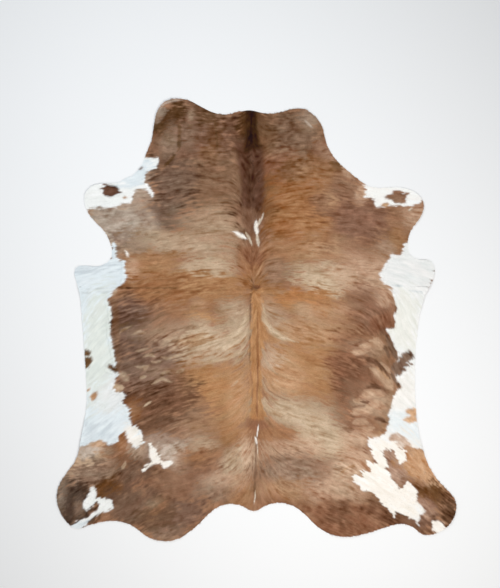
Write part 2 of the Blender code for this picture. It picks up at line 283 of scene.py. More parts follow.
# Patches of the coat: centre, reach along and across, tone, strength and turn.
Patch = namedtuple("Patch", "x y along across tone strength turn", defaults=(0,))
PATCHES = rows(
    Patch,
    # Left foreshank, under the rest
    (-640, 455, 220, 160, "greige", 0.8),
    # Neck's left lobe
    (-290, 930, 240, 185, "lobe brown", 1),
    (-402, 1052, 52, 48, "dark umber", 1),
    (-445, 980, 85, 55, "dark umber", 0.9, 15),
    (-495, 950, 35, 45, "umber", 0.4),
    (-478, 1038, 22, 52, "shank grey", 0.75, -35),
    (-505, 860, 30, 55, "brown", 0.9, -10),
    (-425, 890, 50, 75, "grey taupe", 0.65, -15),
    (-335, 915, 45, 60, "grey taupe", 0.55),
    (-430, 905, 25, 25, "greige", 0.25),
    (-320, 1020, 20, 35, "greige", 0.5, -20),
    (-278, 1030, 32, 45, "dark brown", 0.5, -30),
    (-125, 960, 75, 65, "dark brown", 0.5),
    (-230, 825, 60, 60, "deep orange", 0.45),
    # Left shoulder and foreshank
    (-225, 688, 165, 118, "taupe", 0.85),
    (-440, 680, 80, 85, "grey brown", 0.9, 10),
    (-335, 670, 65, 85, "deep orange", 0.2),
    (-440, 535, 110, 80, "grey brown", 1),
    (-690, 475, 170, 110, "cool grey", 1, 12),
    (-590, 620, 70, 55, "shank grey", 0.85),
    (-545, 710, 45, 45, "shank grey", 0.75, -50),
    (-535, 480, 65, 45, "shank grey", 0.45),
    (-600, 385, 140, 60, "grey brown", 0.6),
    (-695, 345, 25, 50, "grey taupe", 0.6),
    (-220, 475, 170, 110, "greige", 0.5, 6),
    (-185, 460, 105, 65, "pale greige", 0.2),
    (-360, 375, 260, 60, "greige", 0.75, -8),
    (-250, 240, 150, 75, "pale greige", 0.72, 2),
    (-510, 270, 140, 65, "orange", 0.65),
    (-628, 235, 38, 60, "pale tan", 0.6),
    (-325, 158, 325, 68, "orange", 0.95),
    (-470, 145, 180, 70, "deep orange", 1),
    # Left flank and rump
    (-630, -25, 130, 140, "purple brown", 1),
    (-655, -10, 75, 45, "dark purple", 0.5, -8),
    (-430, 40, 110, 65, "deep orange", 0.35),
    (-165, 120, 135, 55, "deep orange", 0.5),
    (-285, 65, 55, 30, "tan", 0.6),
    (-270, 10, 120, 30, "orange", 0.9),
    (-95, 0, 75, 115, "greige", 0.8, 25),
    (-300, -125, 270, 120, "greige", 0.85, -3),
    (-195, -105, 155, 80, "pale greige", 0.4, -4),
    (-315, -108, 105, 28, "orange", 0.6, 5),
    (-550, -265, 180, 160, "purple brown", 0.85),
    (-595, -70, 75, 35, "greige", 0.35, -10),
    (-465, -45, 135, 80, "brown", 0.5, -5),
    (-505, -260, 105, 25, "greige", 0.3, -8),
    (-460, -308, 80, 22, "greige", 0.2, -8),
    (-205, -385, 195, 180, "orange", 0.95),
    (-245, -340, 85, 65, "bright orange", 0.4),
    (-80, -385, 70, 170, "apricot", 0.4),
    (-330, -450, 90, 75, "brown", 0.65),
    (-395, -385, 95, 100, "dark brown", 0.85, -10),
    (-542, -470, 142, 135, "dark brown", 0.92),
    (-632, -480, 42, 75, "deep orange", 0.6, -40),
    (-335, -550, 165, 95, "grey taupe", 0.35, 12),
    (-260, -635, 80, 40, "greige", 0.6),
    (-452, -660, 122, 75, "pale ash", 0.75),
    (-90, -580, 90, 55, "orange", 0.5),
    (-265, -705, 135, 60, "deep orange", 0.7),
    (-95, -710, 75, 125, "greige", 1, -60),
    (-370, -825, 220, 110, "brown", 0.95),
    (-75, -865, 75, 80, "orange", 0.45),
    (-215, -850, 95, 75, "grey taupe", 0.6),
    # Left thigh and hind shank
    (-640, -730, 120, 95, "dark brown", 0.65),
    (-665, -615, 30, 70, "deep orange", 0.75),
    (-600, -650, 50, 45, "ash tan", 0.6, -30),
    (-870, -730, 150, 75, "thigh gold", 0.85, 18),
    (-830, -645, 80, 50, "pale ash", 0.9, 12),
    (-788, -625, 42, 30, "apricot", 0.7),
    (-850, -782, 150, 72, "grey taupe", 0.85, 15),
    (-775, -780, 35, 55, "grey taupe", 0.7, 25),
    (-910, -930, 100, 125, "cool dark", 1, 10),
    (-950, -960, 40, 75, "cool dark", 0.5),
    (-978, -890, 28, 75, "shank grey", 0.4),
    (-890, -940, 25, 45, "grey taupe", 0.6, 10),
    (-728, -850, 78, 65, "deep brown", 1, 18),
    (-625, -780, 75, 55, "grey brown", 0.7, 35),
    (-620, -940, 120, 95, "grey brown", 0.85),
    (-505, -928, 45, 22, "greige", 0.4),
    (-410, -1005, 170, 70, "purple brown", 0.8, 15),
    (-445, -1080, 95, 35, "grey taupe", 0.6),
    # Spine
    (-62, 945, 32, 90, "dark umber", 1),
    (-72, 875, 42, 40, "dark purple", 0.9),
    (32, 940, 48, 135, "dark umber", 0.9),
    (-95, 690, 55, 175, "taupe", 0.75),
    (70, 615, 70, 220, "deep brown", 1),
    (-18, 510, 68, 135, "dark purple", 0.9),
    (-8, 275, 68, 130, "deep orange", 0.8),
    # Neck's right lobe
    (195, 900, 175, 165, "taupe", 1),
    (200, 940, 100, 95, "grey brown", 0.35),
    (265, 1012, 55, 38, "shank grey", 0.4, -30),
    (265, 972, 45, 28, "greige", 0.3),
    (115, 765, 105, 80, "red brown", 0.9),
    (405, 788, 150, 38, "pale tan", 0.5, -45),
    (360, 840, 70, 85, "red brown", 0.5, -30),
    (405, 760, 30, 25, "umber", 0.9),
    (280, 740, 140, 65, "orange", 0.4, -8),
    # Right shoulder and foreshank
    (225, 545, 195, 170, "rust", 1),
    (215, 515, 135, 110, "rust", 0.6),
    (370, 590, 60, 65, "tan", 0.5),
    (445, 640, 85, 65, "brown", 0.85, -20),
    (510, 490, 140, 115, "right shank brown", 0.95),
    (538, 640, 38, 60, "pale tan", 0.85, -15),
    (800, 522, 80, 58, "pale tan", 0.6, 10),
    (715, 405, 45, 60, "orange", 0.45),
    (650, 355, 50, 40, "ash tan", 0.35, -20),
    (140, 345, 130, 70, "deep orange", 0.6),
    (315, 345, 165, 70, "tan", 0.65),
    (480, 360, 110, 45, "brown", 0.5),
    (340, 230, 160, 50, "pale greige", 0.8, -3),
    (100, 250, 70, 65, "grey taupe", 0.35),
    (340, 162, 130, 52, "pale greige", 1, -8),
    (540, 225, 150, 110, "pale tan", 0.55, -20),
    (220, 98, 200, 58, "red orange", 0.9),
    (95, 140, 85, 45, "orange", 0.4, -10),
    # Right flank and rump
    (325, 35, 165, 60, "tan", 0.6),
    (245, 32, 45, 38, "pale greige", 0.3),
    (435, 50, 55, 35, "pale tan", 0.2),
    (590, 45, 120, 110, "right shank brown", 0.7, -14),
    (640, 15, 70, 80, "dark brown", 0.3, -20),
    (655, 125, 55, 50, "pale tan", 0.6, -45),
    (95, -15, 75, 130, "greige", 0.6, 40),
    (120, -258, 90, 128, "ash tan", 0.75, 35),
    (280, -75, 180, 80, "tan", 0.85, -4),
    (255, -260, 165, 165, "orange", 0.9),
    (150, -310, 110, 65, "tan", 1),
    (130, -285, 100, 190, "apricot", 0.25, 15),
    (505, -320, 115, 235, "red brown", 0.95, 8),
    (520, -320, 90, 145, "dark brown", 0.6),
    (665, -225, 75, 160, "grey brown", 0.1, 8),
    (555, -145, 105, 40, "greige", 0.35, -8),
    (595, -265, 65, 60, "greige", 0.15, -15),
    (590, -415, 120, 90, "greige", 0.55, -12),
    (570, -350, 80, 75, "red brown", 0.6, -20),
    (640, -565, 40, 40, "tan", 0.7),
    (220, -485, 200, 90, "greige", 0.9, -10),
    (175, -470, 105, 55, "pale greige", 0.6, -18),
    (435, -540, 95, 55, "grey brown", 0.3, -12),
    (350, -600, 150, 95, "pale greige", 0.8, -25),
    (515, -635, 85, 100, "pale tan", 0.6),
    (185, -650, 165, 55, "pale tan", 0.55),
    (-38, -680, 42, 95, "pale tan", 0.6),
    (215, -765, 205, 80, "grey taupe", 0.85),
    (40, -855, 50, 80, "brown", 0.3),
    (455, -755, 125, 70, "pale tan", 0.75, 20),
    (400, -855, 180, 70, "pale tan", 0.5),
    (465, -1010, 265, 95, "red brown", 0.7),
    (420, -980, 60, 65, "dark brown", 0.4),
    (630, -960, 90, 55, "dark brown", 0.5, -20),
    # Right thigh and hind shank
    (700, -745, 80, 130, "pink brown", 1, 30),
    (830, -810, 90, 95, "brown", 0.7, 30),
    (810, -715, 80, 90, "apricot", 0.9, 35),
    (900, -810, 60, 75, "apricot", 1, 35),
    (900, -880, 80, 75, "deep brown", 1, -30),
    (955, -955, 65, 90, "dark brown", 0.65),
    (960, -965, 50, 70, "near black", 0.5),
    (825, -975, 65, 70, "pink brown", 0.9, -30),
    (795, -1025, 115, 60, "dark brown", 0.7, -20),
    # Spots and shades over the others, all over the hide
    (190, 740, 60, 45, "deep brown", 0.45),
    (325, 575, 65, 60, "brown", 0.65),
    (-208, 905, 48, 100, "deep brown", 0.55),
    (-410, 680, 120, 125, "grey brown", 0.85),
    (45, 540, 55, 55, "deep brown", 0.55),
    (-840, -770, 70, 55, "grey brown", 0.5, 15),
    (-505, -985, 95, 70, "umber", 0.45, 20),
    (-220, -720, 60, 55, "brown", 0.5),
    (-375, -685, 55, 80, "ash tan", 0.25),
    (-150, -810, 110, 35, "pale tan", 0.5),
    (355, -775, 65, 60, "brown", 0.5),
    (430, -790, 50, 85, "greige", 0.4),
    (135, -855, 105, 50, "tan", 0.6),
    (-15, 335, 50, 60, "red brown", 0.75),
    (-460, -580, 110, 55, "brown", 0.45, 15),
    (-230, 1020, 60, 45, "umber", 0.6),
    (55, 875, 55, 80, "deep brown", 0.4),
    (-625, -145, 95, 150, "cool dark", 0.35),
)

# Parts of the coat with an edge of their own: tone, outline, softness of the edge, strength.
Area = namedtuple("Area", "name tone outline softness strength", defaults=(5, 1))
AREAS = rows(
    Area,
    ("stripe", "dark purple", (
        (-105, 865), (35, 865), (38, 770), (40, 670), (40, 585), (30, 525), (10, 465), (-10, 415),
        (-30, 405), (-50, 455), (-70, 525), (-75, 605), (-75, 685), (-85, 770),
    ), 17),
    ("stripe foot", "brown", (
        (-100, 565), (30, 545), (40, 485), (30, 365), (-60, 365), (-100, 465),
    ), 15, 0.6),
    ("stripe core", "near black", (
        (-45, 795), (-15, 795), (-10, 645), (-20, 575), (-40, 575), (-45, 670),
    ), 14, 0.3),
    ("crest tuft", "near black", (
        (-52, 1080), (3, 1080), (5, 1015), (5, 955), (12, 915), (15, 878), (35, 872), (15, 854),
        (-15, 852), (-35, 842), (-60, 835), (-58, 865), (-52, 905), (-52, 955), (-55, 1015),
    ), 11, 0.96),
    ("spine strip", "bright orange", (
        (-25, 155), (40, 155), (40, 95), (35, 5), (50, -55), (65, -90), (40, -110), (30, -205),
        (28, -380), (35, -445), (55, -495), (30, -515), (-30, -515), (-28, -305), (-30, -105),
        (-25, 45),
    ), 4, 0.9),
    ("spine widening", "orange", (
        (25, 5), (45, -35), (70, -75), (120, -110), (80, -125), (40, -115), (20, -65),
    ), 6, 0.75),
    ("orange wedge", "deep orange", (
        (30, -455), (50, -490), (100, -515), (170, -545), (220, -570), (180, -605), (70, -610),
        (10, -605), (10, -545),
    ), 14, 0.6),
    ("spine end", "red brown", (
        (-45, -495), (30, -505), (70, -540), (30, -555), (-20, -555), (-50, -535),
    ), 9, 0.7),
    ("left fringe", "taupe", (
        (-745, 115), (-720, 100), (-695, 95), (-685, 35), (-685, -55), (-688, -155), (-685, -235),
        (-690, -275), (-708, -275), (-715, -205), (-728, -130), (-732, -55), (-722, 15), (-728, 70),
    ), 9, 0.75),
    ("right flank tip", "red brown", (
        (580, 5), (660, 35), (700, 5), (700, -45), (650, -50), (600, -75), (560, -55),
    ), 6, 0.8),
)

# White markings and the coloured spots inside them. Past the hide's rim they run free.
MARKINGS = rows(
    Area,
    ("left fore shank", "clean white", (
        (-930, 795), (-590, 805), (-545, 810), (-490, 810), (-482, 790), (-500, 755), (-520, 748),
        (-545, 740), (-555, 715), (-565, 690), (-550, 675), (-530, 665), (-535, 655), (-512, 620),
        (-520, 608), (-545, 640), (-550, 655), (-590, 648), (-612, 642), (-618, 620), (-618, 600),
        (-630, 582), (-670, 578), (-690, 568), (-700, 558), (-780, 552), (-840, 550), (-880, 525),
        (-950, 595),
    )),
    ("left flank", "cool white", (
        (-980, 285), (-730, 300), (-732, 345), (-715, 382), (-700, 365), (-700, 310), (-682, 292),
        (-660, 308), (-650, 285), (-660, 245), (-642, 210), (-655, 185), (-675, 162), (-720, 138),
        (-730, 112), (-752, 100), (-740, 85), (-728, 50), (-720, 15), (-725, -25), (-732, -70),
        (-725, -120), (-710, -170), (-705, -215), (-695, -275), (-710, -305), (-725, -345),
        (-700, -368), (-675, -362), (-645, -385), (-670, -410), (-642, -445), (-630, -500),
        (-620, -540), (-590, -540), (-570, -575), (-562, -615), (-585, -635), (-608, -648),
        (-630, -620), (-648, -590), (-658, -562), (-685, -575), (-690, -610), (-735, -635),
        (-760, -610), (-788, -605), (-825, -615), (-858, -638), (-930, -655),
    )),
    ("left elbow slit", "warm white", ((-658, 345), (-642, 335), (-635, 310), (-648, 310))),
    ("left groin", "warm white", (
        (-542, -618), (-518, -628), (-492, -668), (-478, -702), (-452, -712), (-415, -720),
        (-435, -740), (-460, -745), (-480, -730), (-500, -725), (-520, -738), (-560, -765),
        (-570, -760), (-555, -738), (-530, -712), (-538, -672),
    )),
    ("left hind shank", "clean white", (
        (-832, -848), (-808, -840), (-798, -895), (-770, -900), (-742, -892), (-712, -915),
        (-720, -950), (-770, -970), (-808, -995), (-840, -1018), (-880, -1055), (-940, -1065),
        (-925, -1038), (-885, -1010), (-840, -995), (-810, -970), (-792, -948), (-790, -930),
        (-802, -922), (-835, -950), (-862, -968), (-868, -925), (-848, -885),
    )),
    ("right fore shank", "bright white", (
        (530, 735), (670, 735), (845, 685), (870, 615), (825, 582), (780, 565), (735, 562), (720, 568),
        (670, 572), (630, 558), (605, 560), (590, 580), (592, 592), (570, 602), (535, 608), (550, 625),
        (545, 650),
    )),
    ("right flank", "white", (
        (738, 378), (735, 335), (720, 315), (685, 325), (670, 315), (665, 295), (640, 265), (625, 235),
        (625, 205), (642, 180), (682, 148), (692, 90), (705, 50), (695, 15), (700, -45), (648, -52),
        (670, -88), (688, -120), (695, -145), (712, -165), (720, -190), (708, -215), (715, -250),
        (702, -275), (712, -318), (725, -345), (710, -365), (690, -395), (680, -435), (662, -482),
        (672, -500), (662, -535), (648, -570), (620, -592), (578, -602), (562, -595), (575, -650),
        (590, -692), (605, -718), (585, -732), (552, -708), (578, -762), (550, -768), (525, -762),
        (535, -795), (480, -782), (490, -812), (528, -835), (525, -855), (562, -862), (608, -890),
        (645, -935), (668, -958), (695, -998), (702, -968), (750, -990), (795, -1008), (818, -1035),
        (822, -985), (850, -965), (838, -948), (805, -918), (812, -875), (790, -835), (760, -812),
        (742, -845), (720, -860), (698, -828), (672, -800), (655, -755), (660, -718), (642, -688),
        (632, -660), (650, -650), (675, -662), (700, -645), (730, -652), (760, -638), (795, -648),
        (835, -650), (900, -635), (870, -405), (850, 95), (920, 285), (780, 390),
    )),
    ("right thigh slit", "warm white", (
        (682, -628), (720, -648), (752, -660), (758, -690), (740, -722), (720, -720), (700, -678),
    )),
    ("right hind shank tip", "warm white", (
        (880, -1010), (905, -1008), (925, -1018), (940, -1032), (950, -1055), (940, -1075),
        (910, -1080), (885, -1055),
    )),
)
SPOTS = rows(
    Area,
    ("left fore shank", "dark purple", (
        (-778, 652), (-762, 658), (-760, 672), (-730, 675), (-702, 672), (-688, 658), (-690, 642),
        (-675, 635), (-695, 626), (-725, 612), (-755, 618), (-765, 632), (-760, 645),
    )),
    ("left fore shank speck", "tan", ((-670, 610), (-655, 615), (-648, 608), (-662, 602))),
    ("left edge speck", "grey brown", ((-588, 748), (-575, 765), (-570, 758), (-580, 745))),
    ("left flank upper", "umber", ((-860, -155), (-842, -160), (-828, -170), (-838, -185), (-860, -185))),
    ("left flank middle", "umber", (
        (-860, -190), (-828, -195), (-822, -210), (-832, -228), (-842, -245), (-860, -245),
    )),
    ("left flank speck", "tan", ((-850, -360), (-838, -348), (-835, -358), (-845, -365))),
    ("left flank lower", "tan", (
        (-832, -392), (-822, -375), (-800, -362), (-798, -380), (-805, -405), (-822, -412),
    )),
    ("left flank tuft", "umber", (
        (-750, -230), (-730, -232), (-705, -240), (-690, -260), (-705, -272), (-725, -262),
        (-742, -245),
    )),
    ("right fore shank", "brown", (
        (640, 612), (660, 620), (685, 628), (690, 645), (722, 645), (740, 630), (768, 632), (755, 615),
        (750, 588), (730, 580), (700, 582), (675, 602), (650, 605),
    )),
    ("right fore shank bump", "tan", ((625, 565), (640, 580), (660, 585), (668, 575), (655, 562))),
    ("right flank upper", "apricot", (
        (752, -465), (765, -452), (805, -450), (805, -490), (775, -492), (775, -478), (758, -480),
    )),
    ("right flank lower", "apricot", (
        (740, -508), (755, -495), (775, -490), (805, -490), (805, -512), (770, -522),
    )),
    ("right flank tuft", "grey brown", (
        (680, -245), (685, -220), (710, -217), (730, -192), (750, -170), (765, -158), (780, -160),
        (792, -175), (794, -195), (775, -203), (760, -213), (748, -223), (785, -226), (760, -237),
        (745, -241), (760, -250), (742, -265), (720, -278), (705, -282), (695, -262),
    )),
)

# Painted light and shade on the white markings: cooler and darker where slopes and raised rims of the
# hide face away from the warm key lamp, cream and warmer where they face it.
PAINTED_LIGHT_ON_WHITE = rows(
    Patch,
    (-605, 725, 95, 60, "cool white", 0.9),
    (-798, -140, 82, 275, "faint cream", 0.95, -3),
    (-710, -375, 80, 110, "white", 0.7, -30),
    (-610, -595, 60, 70, "warm white", 0.9),
    (-825, 255, 115, 25, "rim white", 0.8, 3),
    (-790, -575, 80, 50, "rim white", 0.7),
    (-900, -1050, 70, 35, "cool white", 0.8),
    (805, -590, 35, 65, "rim white", 0.7),
    (750, -15, 70, 150, "faint warm", 0.8),
    (730, -370, 90, 105, "warm white", 0.5),
    (745, -550, 95, 85, "cool white", 0.6),
    (670, -810, 210, 235, "warm white", 1),
)

# Fine hair lines: half width, tone, strength and route.
Line = namedtuple("Line", "half_width tone strength route")
LINES = rows(
    Line,
    # Rims and a fleck of the lobes, and painted shade in the left lobe's fold
    (7.5, "pale ash", 0.5, ((-485, 1045), (-460, 1078), (-415, 1095), (-360, 1098))),
    (4.5, "umber", 0.6, ((-390, 990), (-388, 925), (-395, 855))),
    (8, "grey brown", 0.6, ((-720, -45), (-708, -130), (-695, -215), (-685, -265))),
    (6, "pale ash", 0.6, ((240, 1000), (265, 975), (285, 955))),
    # Right flank's lower wisps and dark strands, and the left thigh's tuft
    (17, "warm greige", 0.8, ((475, -525), (520, -512), (570, -525))),
    (13, "warm greige", 0.7, ((520, -570), (580, -585), (640, -590))),
    (6, "greige", 0.7, ((-675, -755), (-660, -730), (-650, -705))),
    (8, "grey brown", 0.7, ((640, -130), (660, -165), (670, -205))),
    (8, "dark brown", 0.7, ((550, -345), (590, -335), (635, -350))),
    (7, "dark brown", 0.6, ((480, -445), (520, -435), (555, -440))),
    (8, "brown", 0.7, ((590, -565), (620, -550), (650, -565))),
    (11, "warm greige", 0.95, ((480, -408), (520, -415), (560, -422))),
    (10, "pale tan", 0.7, ((605, -215), (645, -240), (680, -275))),
    (10, "warm greige", 0.95, ((520, -545), (560, -555), (600, -542))),
    (8, "dark brown", 0.8, ((550, -185), (595, -210), (640, -250))),
    (9, "taupe", 0.7, ((430, -545), (460, -555), (495, -555))),
    (7, "dark brown", 0.7, ((590, -330), (630, -345), (670, -360))),
    # Left flank's upper wisps
    (6, "greige", 0.7, ((-475, -190), (-445, -200), (-405, -190))),
    (5.5, "greige", 0.65, ((-535, -210), (-505, -218), (-470, -208))),
    (6, "greige", 0.65, ((-610, -238), (-575, -242), (-545, -232))),
    (6, "greige", 0.6, ((-610, -165), (-570, -155), (-530, -145))),
    # Lines along the spine
    (3.5, "dark brown", 0.7, ((-22, 160), (-28, 110), (-29, 65), (-30, -55))),
    (4, "umber", 0.7, ((-30, -70), (-31, -145), (-30, -235))),
    (4, "brown", 0.5, ((-28, -255), (-20, -330), (-18, -415))),
    (5, "deep orange", 0.8, ((9, 35), (8, -130), (9, -275))),
    (4.5, "red brown", 0.6, ((8, -205), (7, -365), (5, -515))),
    (5.5, "tan", 0.7, ((28, 155), (30, 95), (30, 10))),
    (3.5, "tan", 0.5, ((-20, 95), (-20, 5), (-15, -60))),
    (5.5, "red brown", 0.8, ((-15, 165), (5, 162), (25, 162))),
    # Arcs of hair beside the spine
    (13, "pale greige", 0.8, ((35, 75), (45, -5), (75, -55), (125, -90), (210, -115))),
    (8, "greige", 0.6, ((30, -125), (45, -195), (70, -245), (110, -280))),
    (7, "greige", 0.6, ((30, -295), (50, -355), (90, -390), (170, -415))),
    (14, "pale greige", 0.7, ((30, -375), (50, -435), (90, -465), (180, -485))),
    (3, "brown", 0.5, ((35, -310), (65, -360), (115, -390), (180, -415))),
    (13, "pale greige", 0.7, ((-35, 75), (-55, -15), (-90, -70), (-180, -105))),
    (12, "pale greige", 0.7, ((-35, -25), (-65, -95), (-120, -135), (-230, -155))),
    (7.5, "pale greige", 0.6, ((-35, -105), (-80, -165), (-140, -200), (-250, -215))),
    (6, "greige", 0.6, ((-35, -155), (-75, -195), (-125, -240))),
    (4, "orange", 0.6, ((-40, -75), (-80, -125), (-160, -165))),
    # Painted shade in the folds and creases, over the crease relief, and the dark line to the tail
    (8, "umber", 0.75, ((-385, 1015), (-380, 945), (-385, 855), (-405, 820))),
    (6.5, "umber", 0.95, ((-400, 830), (-430, 795), (-470, 755))),
    (5, "umber", 0.7, ((-210, 1005), (-200, 945), (-195, 885), (-190, 825))),
    (4.5, "umber", 0.5, ((-700, 155), (-530, 155), (-370, 155))),
    (4, "umber", 0.3, ((-720, 125), (-580, 130), (-430, 135))),
    (4, "brown", 0.3, ((30, 165), (220, 160), (420, 155))),
    (5, "dark brown", 0.5, ((5, -525), (0, -655), (-5, -805), (-10, -935))),
    # Left flank's and haunch's single wisps
    (5.5, "pale greige", 0.8, ((-565, -440), (-520, -410))),
    (5, "pale greige", 0.6, ((-125, -340), (-85, -305))),
    (8, "greige", 0.8, ((-675, -755), (-650, -720))),
    (6, "pale greige", 0.5, ((-150, -710), (-50, -620))),
    (6, "pale greige", 0.5, ((-170, -755), (-60, -665))),
    # Right flank's tufts
    (14.5, "warm greige", 0.95, ((470, -165), (510, -170), (565, -160))),
    (19, "warm greige", 0.95, ((515, -140), (560, -130), (600, -105))),
    (21, "warm greige", 0.95, ((585, -95), (610, -120), (630, -155))),
    (24, "warm greige", 0.95, ((570, -240), (620, -275), (660, -315), (695, -370))),
    (11, "tan", 0.8, ((595, -235), (640, -265), (675, -310))),
    (9.5, "dark brown", 0.85, ((480, -190), (540, -195), (600, -220), (650, -265), (685, -315))),
    (8, "red brown", 0.6, ((470, -140), (530, -120), (580, -95))),
    (12, "grey brown", 0.8, ((645, -75), (670, -115), (685, -155), (705, -195), (710, -225))),
    (9, "grey brown", 0.8, ((675, -260), (700, -305), (718, -350))),
    (25, "warm greige", 0.95, ((520, -395), (580, -375), (650, -390))),
    (25, "warm greige", 0.95, ((540, -450), (600, -425), (655, -450))),
    (20, "warm greige", 0.95, ((470, -475), (530, -460), (590, -470))),
    (11, "dark brown", 0.9, ((580, -495), (620, -502), (655, -520))),
    (8, "dark brown", 0.85, ((525, -415), (575, -418))),
    # Left flank's tufts
    (8, "greige", 0.6, ((-625, -80), (-580, -60), (-545, -75))),
    (5, "greige", 0.6, ((-690, -80), (-670, -55), (-625, -35))),
    (7, "greige", 0.75, ((-570, -192), (-535, -180), (-495, -192))),
    (7.5, "greige", 0.75, ((-565, -260), (-535, -230))),
    (8, "greige", 0.75, ((-585, -300), (-545, -285))),
    (7.5, "greige", 0.75, ((-525, -330), (-470, -300), (-415, -320))),
    (6, "greige", 0.75, ((-480, -275), (-430, -260))),
    (7.5, "greige", 0.75, ((-405, -270), (-355, -250))),
    (17, "greige", 0.6, ((-695, -270), (-665, -285), (-635, -315))),
    (13, "pale greige", 0.8, ((-725, -325), (-690, -345), (-655, -345))),
    (7.5, "pale greige", 0.7, ((-720, -350), (-680, -365))),
    # Whorl
    (4.5, "orange", 0.35, ((-60, 285), (-40, 235), (-25, 175))),
    (4.5, "bright orange", 0.2, ((-90, 255), (-55, 220), (-30, 170))),
    (4.5, "tan", 0.6, ((40, 285), (15, 240), (-5, 195))),
    (4.5, "bright orange", 0.3, ((65, 235), (35, 205), (10, 170))),
    (3.5, "umber", 0.5, ((-20, 225), (-18, 190), (-18, 155))),
    # Right haunch
    (7, "pale tan", 0.7, ((410, -805), (470, -765), (530, -775))),
    (6, "orange", 0.6, ((410, -785), (460, -745), (520, -725))),
)
WHITE_LINES = rows(
    Line,
    # Painted shade along the fold creases across the markings
    (4, "fold grey", 0.9, ((-885, 130), (-860, 129), (-830, 128))),
    (3.5, "fold grey", 0.8, ((-810, 135), (-765, 132), (-725, 135))),
    (2.5, "fold grey", 0.6, ((-880, 148), (-830, 148), (-720, 155))),
    (4, "fold grey", 0.9, ((665, 168), (710, 164), (765, 168))),
    (4, "fold grey", 0.9, ((760, 142), (810, 135), (850, 136))),
    # Coloured hair in the markings
    (8, "greige", 0.6, ((-725, 110), (-710, 128), (-690, 150))),
    (15, "pale tan", 0.8, ((665, -610), (700, -590), (735, -605), (785, -650))),
    (9, "pale tan", 0.6, ((700, -620), (735, -635), (765, -652))),
    # White tufts at the whorl
    (8, "warm white", 1, ((-122, 440), (-95, 430), (-70, 416), (-45, 402))),
    (3.5, "cream", 0.8, ((-95, 415), (-60, 402))),
    (4.5, "cream", 0.8, ((-52, 435), (-35, 408), (-18, 368))),
    (9, "warm white", 1, ((2, 500), (2, 465), (7, 418))),
    (3.5, "cream", 0.85, ((39, 538), (30, 505), (12, 465))),
    (3, "cream", 0.85, ((22, 510), (14, 485), (9, 460))),
    (6.5, "cream", 0.8, ((5, 430), (8, 395), (15, 360))),
    # White ticks along the seam, and a nick in the foreshank
    (3, "warm white", 0.9, ((13, -530), (8, -565), (5, -595))),
    (4, "warm white", 0.9, ((-4, -590), (2, -615), (6, -635))),
    (2.5, "cream", 0.8, ((6, -630), (8, -655), (7, -680))),
    (3, "cream", 0.8, ((-2, -860), (-5, -895), (-11, -940))),
    (3.5, "cream", 0.8, ((785, 558), (762, 542))),
)

# Creases of the skin: half width, depth and route.
Crease = namedtuple("Crease", "name half_width depth route")
CREASES = rows(
    Crease,
    ("neck fold", 7, 1.6, ((-385, 1035), (-380, 945), (-385, 855), (-430, 795), (-475, 750))),
    ("neck fold, short", 6, 0.9, ((-210, 1015), (-200, 945), (-190, 825))),
    ("upper fold, left", 5, 0.8, ((-880, 160), (-705, 155), (-370, 155), (-30, 145))),
    ("upper fold, left second line", 5, 0.6, ((-880, 135), (-730, 130), (-480, 130))),
    ("upper fold, right", 5, 0.8, ((30, 160), (420, 155), (695, 170), (870, 160))),
    ("upper fold, right second line", 5, 0.6, ((695, 140), (880, 125))),
    ("lower valley, left", 7, 1.0, ((-850, -410), (-755, -445), (-640, -500))),
    ("lower valley, right", 7, 1.0, ((670, -505), (745, -495), (810, -500))),
)

# Zones of the hide: centre, reach, and the value in the middle, which fades out at the edge.
Zone = namedtuple("Zone", "name x y reach_x reach_y value")
# How much longer or shorter than usual the hair is.
LENGTH_ZONES = rows(
    Zone,
    ("left flank", -620, -150, 200, 420, 0.35),
    ("right flank", 620, -180, 200, 420, 0.35),
    ("back", 0, -150, 300, 500, 0.15),
    ("crest tuft", -20, 950, 60, 120, 0.5),
    ("withers", -20, 560, 90, 330, 0.3),
    ("left fore shank", -800, 590, 140, 120, -0.25),
    ("right fore shank", 790, 560, 140, 120, -0.25),
    ("left hind shank", -860, -920, 200, 160, -0.2),
    ("right hind shank", 860, -930, 200, 160, -0.2),
)
# How fuzzy the hair is: fuzzy hair shows no streaks.
FUZZY_ZONES = rows(
    Zone,
    ("left fore shank", -640, 480, 190, 130, 0.45),
    ("right fore shank", 600, 490, 190, 130, 0.5),
    ("left lobe", -420, 930, 130, 190, 0.8),
    ("neck", 0, 860, 470, 190, 0.75),
    ("right flank", 640, -310, 110, 330, 0.65),
    ("left flank", -560, -200, 150, 190, 0.35),
    ("stripe", -20, 600, 60, 300, 0.8),
    ("left shank", -680, 500, 180, 130, 0.7),
    ("left rump", -400, -880, 330, 190, 0.95),
    ("left hind shank", -800, -820, 200, 230, 0.7),
    ("right rump", 380, -960, 330, 120, 0.7),
    ("right haunch", 200, -780, 170, 90, 0.6),
    ("right hind shank", 820, -850, 160, 220, 0.5),
    ("left groin", -430, -680, 180, 90, 0.8),
)
# How much more or less than usual the hairs differ in colour.
CONTRAST_ZONES = rows(
    Zone,
    ("left orange field", -205, -390, 190, 200, -0.42),
    ("right orange field", 260, -260, 200, 220, -0.38),
    ("left upper band", -330, 180, 260, 110, -0.30),
    ("right upper band", 280, 90, 200, 90, -0.15),
    ("right neck", 170, 900, 200, 150, 0.35),
    ("right haunch", 330, -850, 300, 120, 0.25),
    ("spine strip", 10, -260, 60, 400, -0.40),
    ("left rump", -520, -900, 260, 150, -0.45),
    ("left neck", -200, 900, 200, 150, 0.20),
)
# How far the hair leans from the comb's direction, counterclockwise.
LEAN_ZONES = rows(
    Zone,
    ("right flank", 665, -120, 80, 240, -22),
    ("left thigh", -860, -720, 150, 120, -32),
    ("left flank", -650, -60, 110, 260, -22),
)

# The coat's pieces: bands of y in metres, each parted in two along the spine.
BANDS = {"shoulder": (0.34, 9), "flank": (-0.34, 0.34), "rump": (-9, -0.34)}
SIDES = {"left": -1, "right": 1}

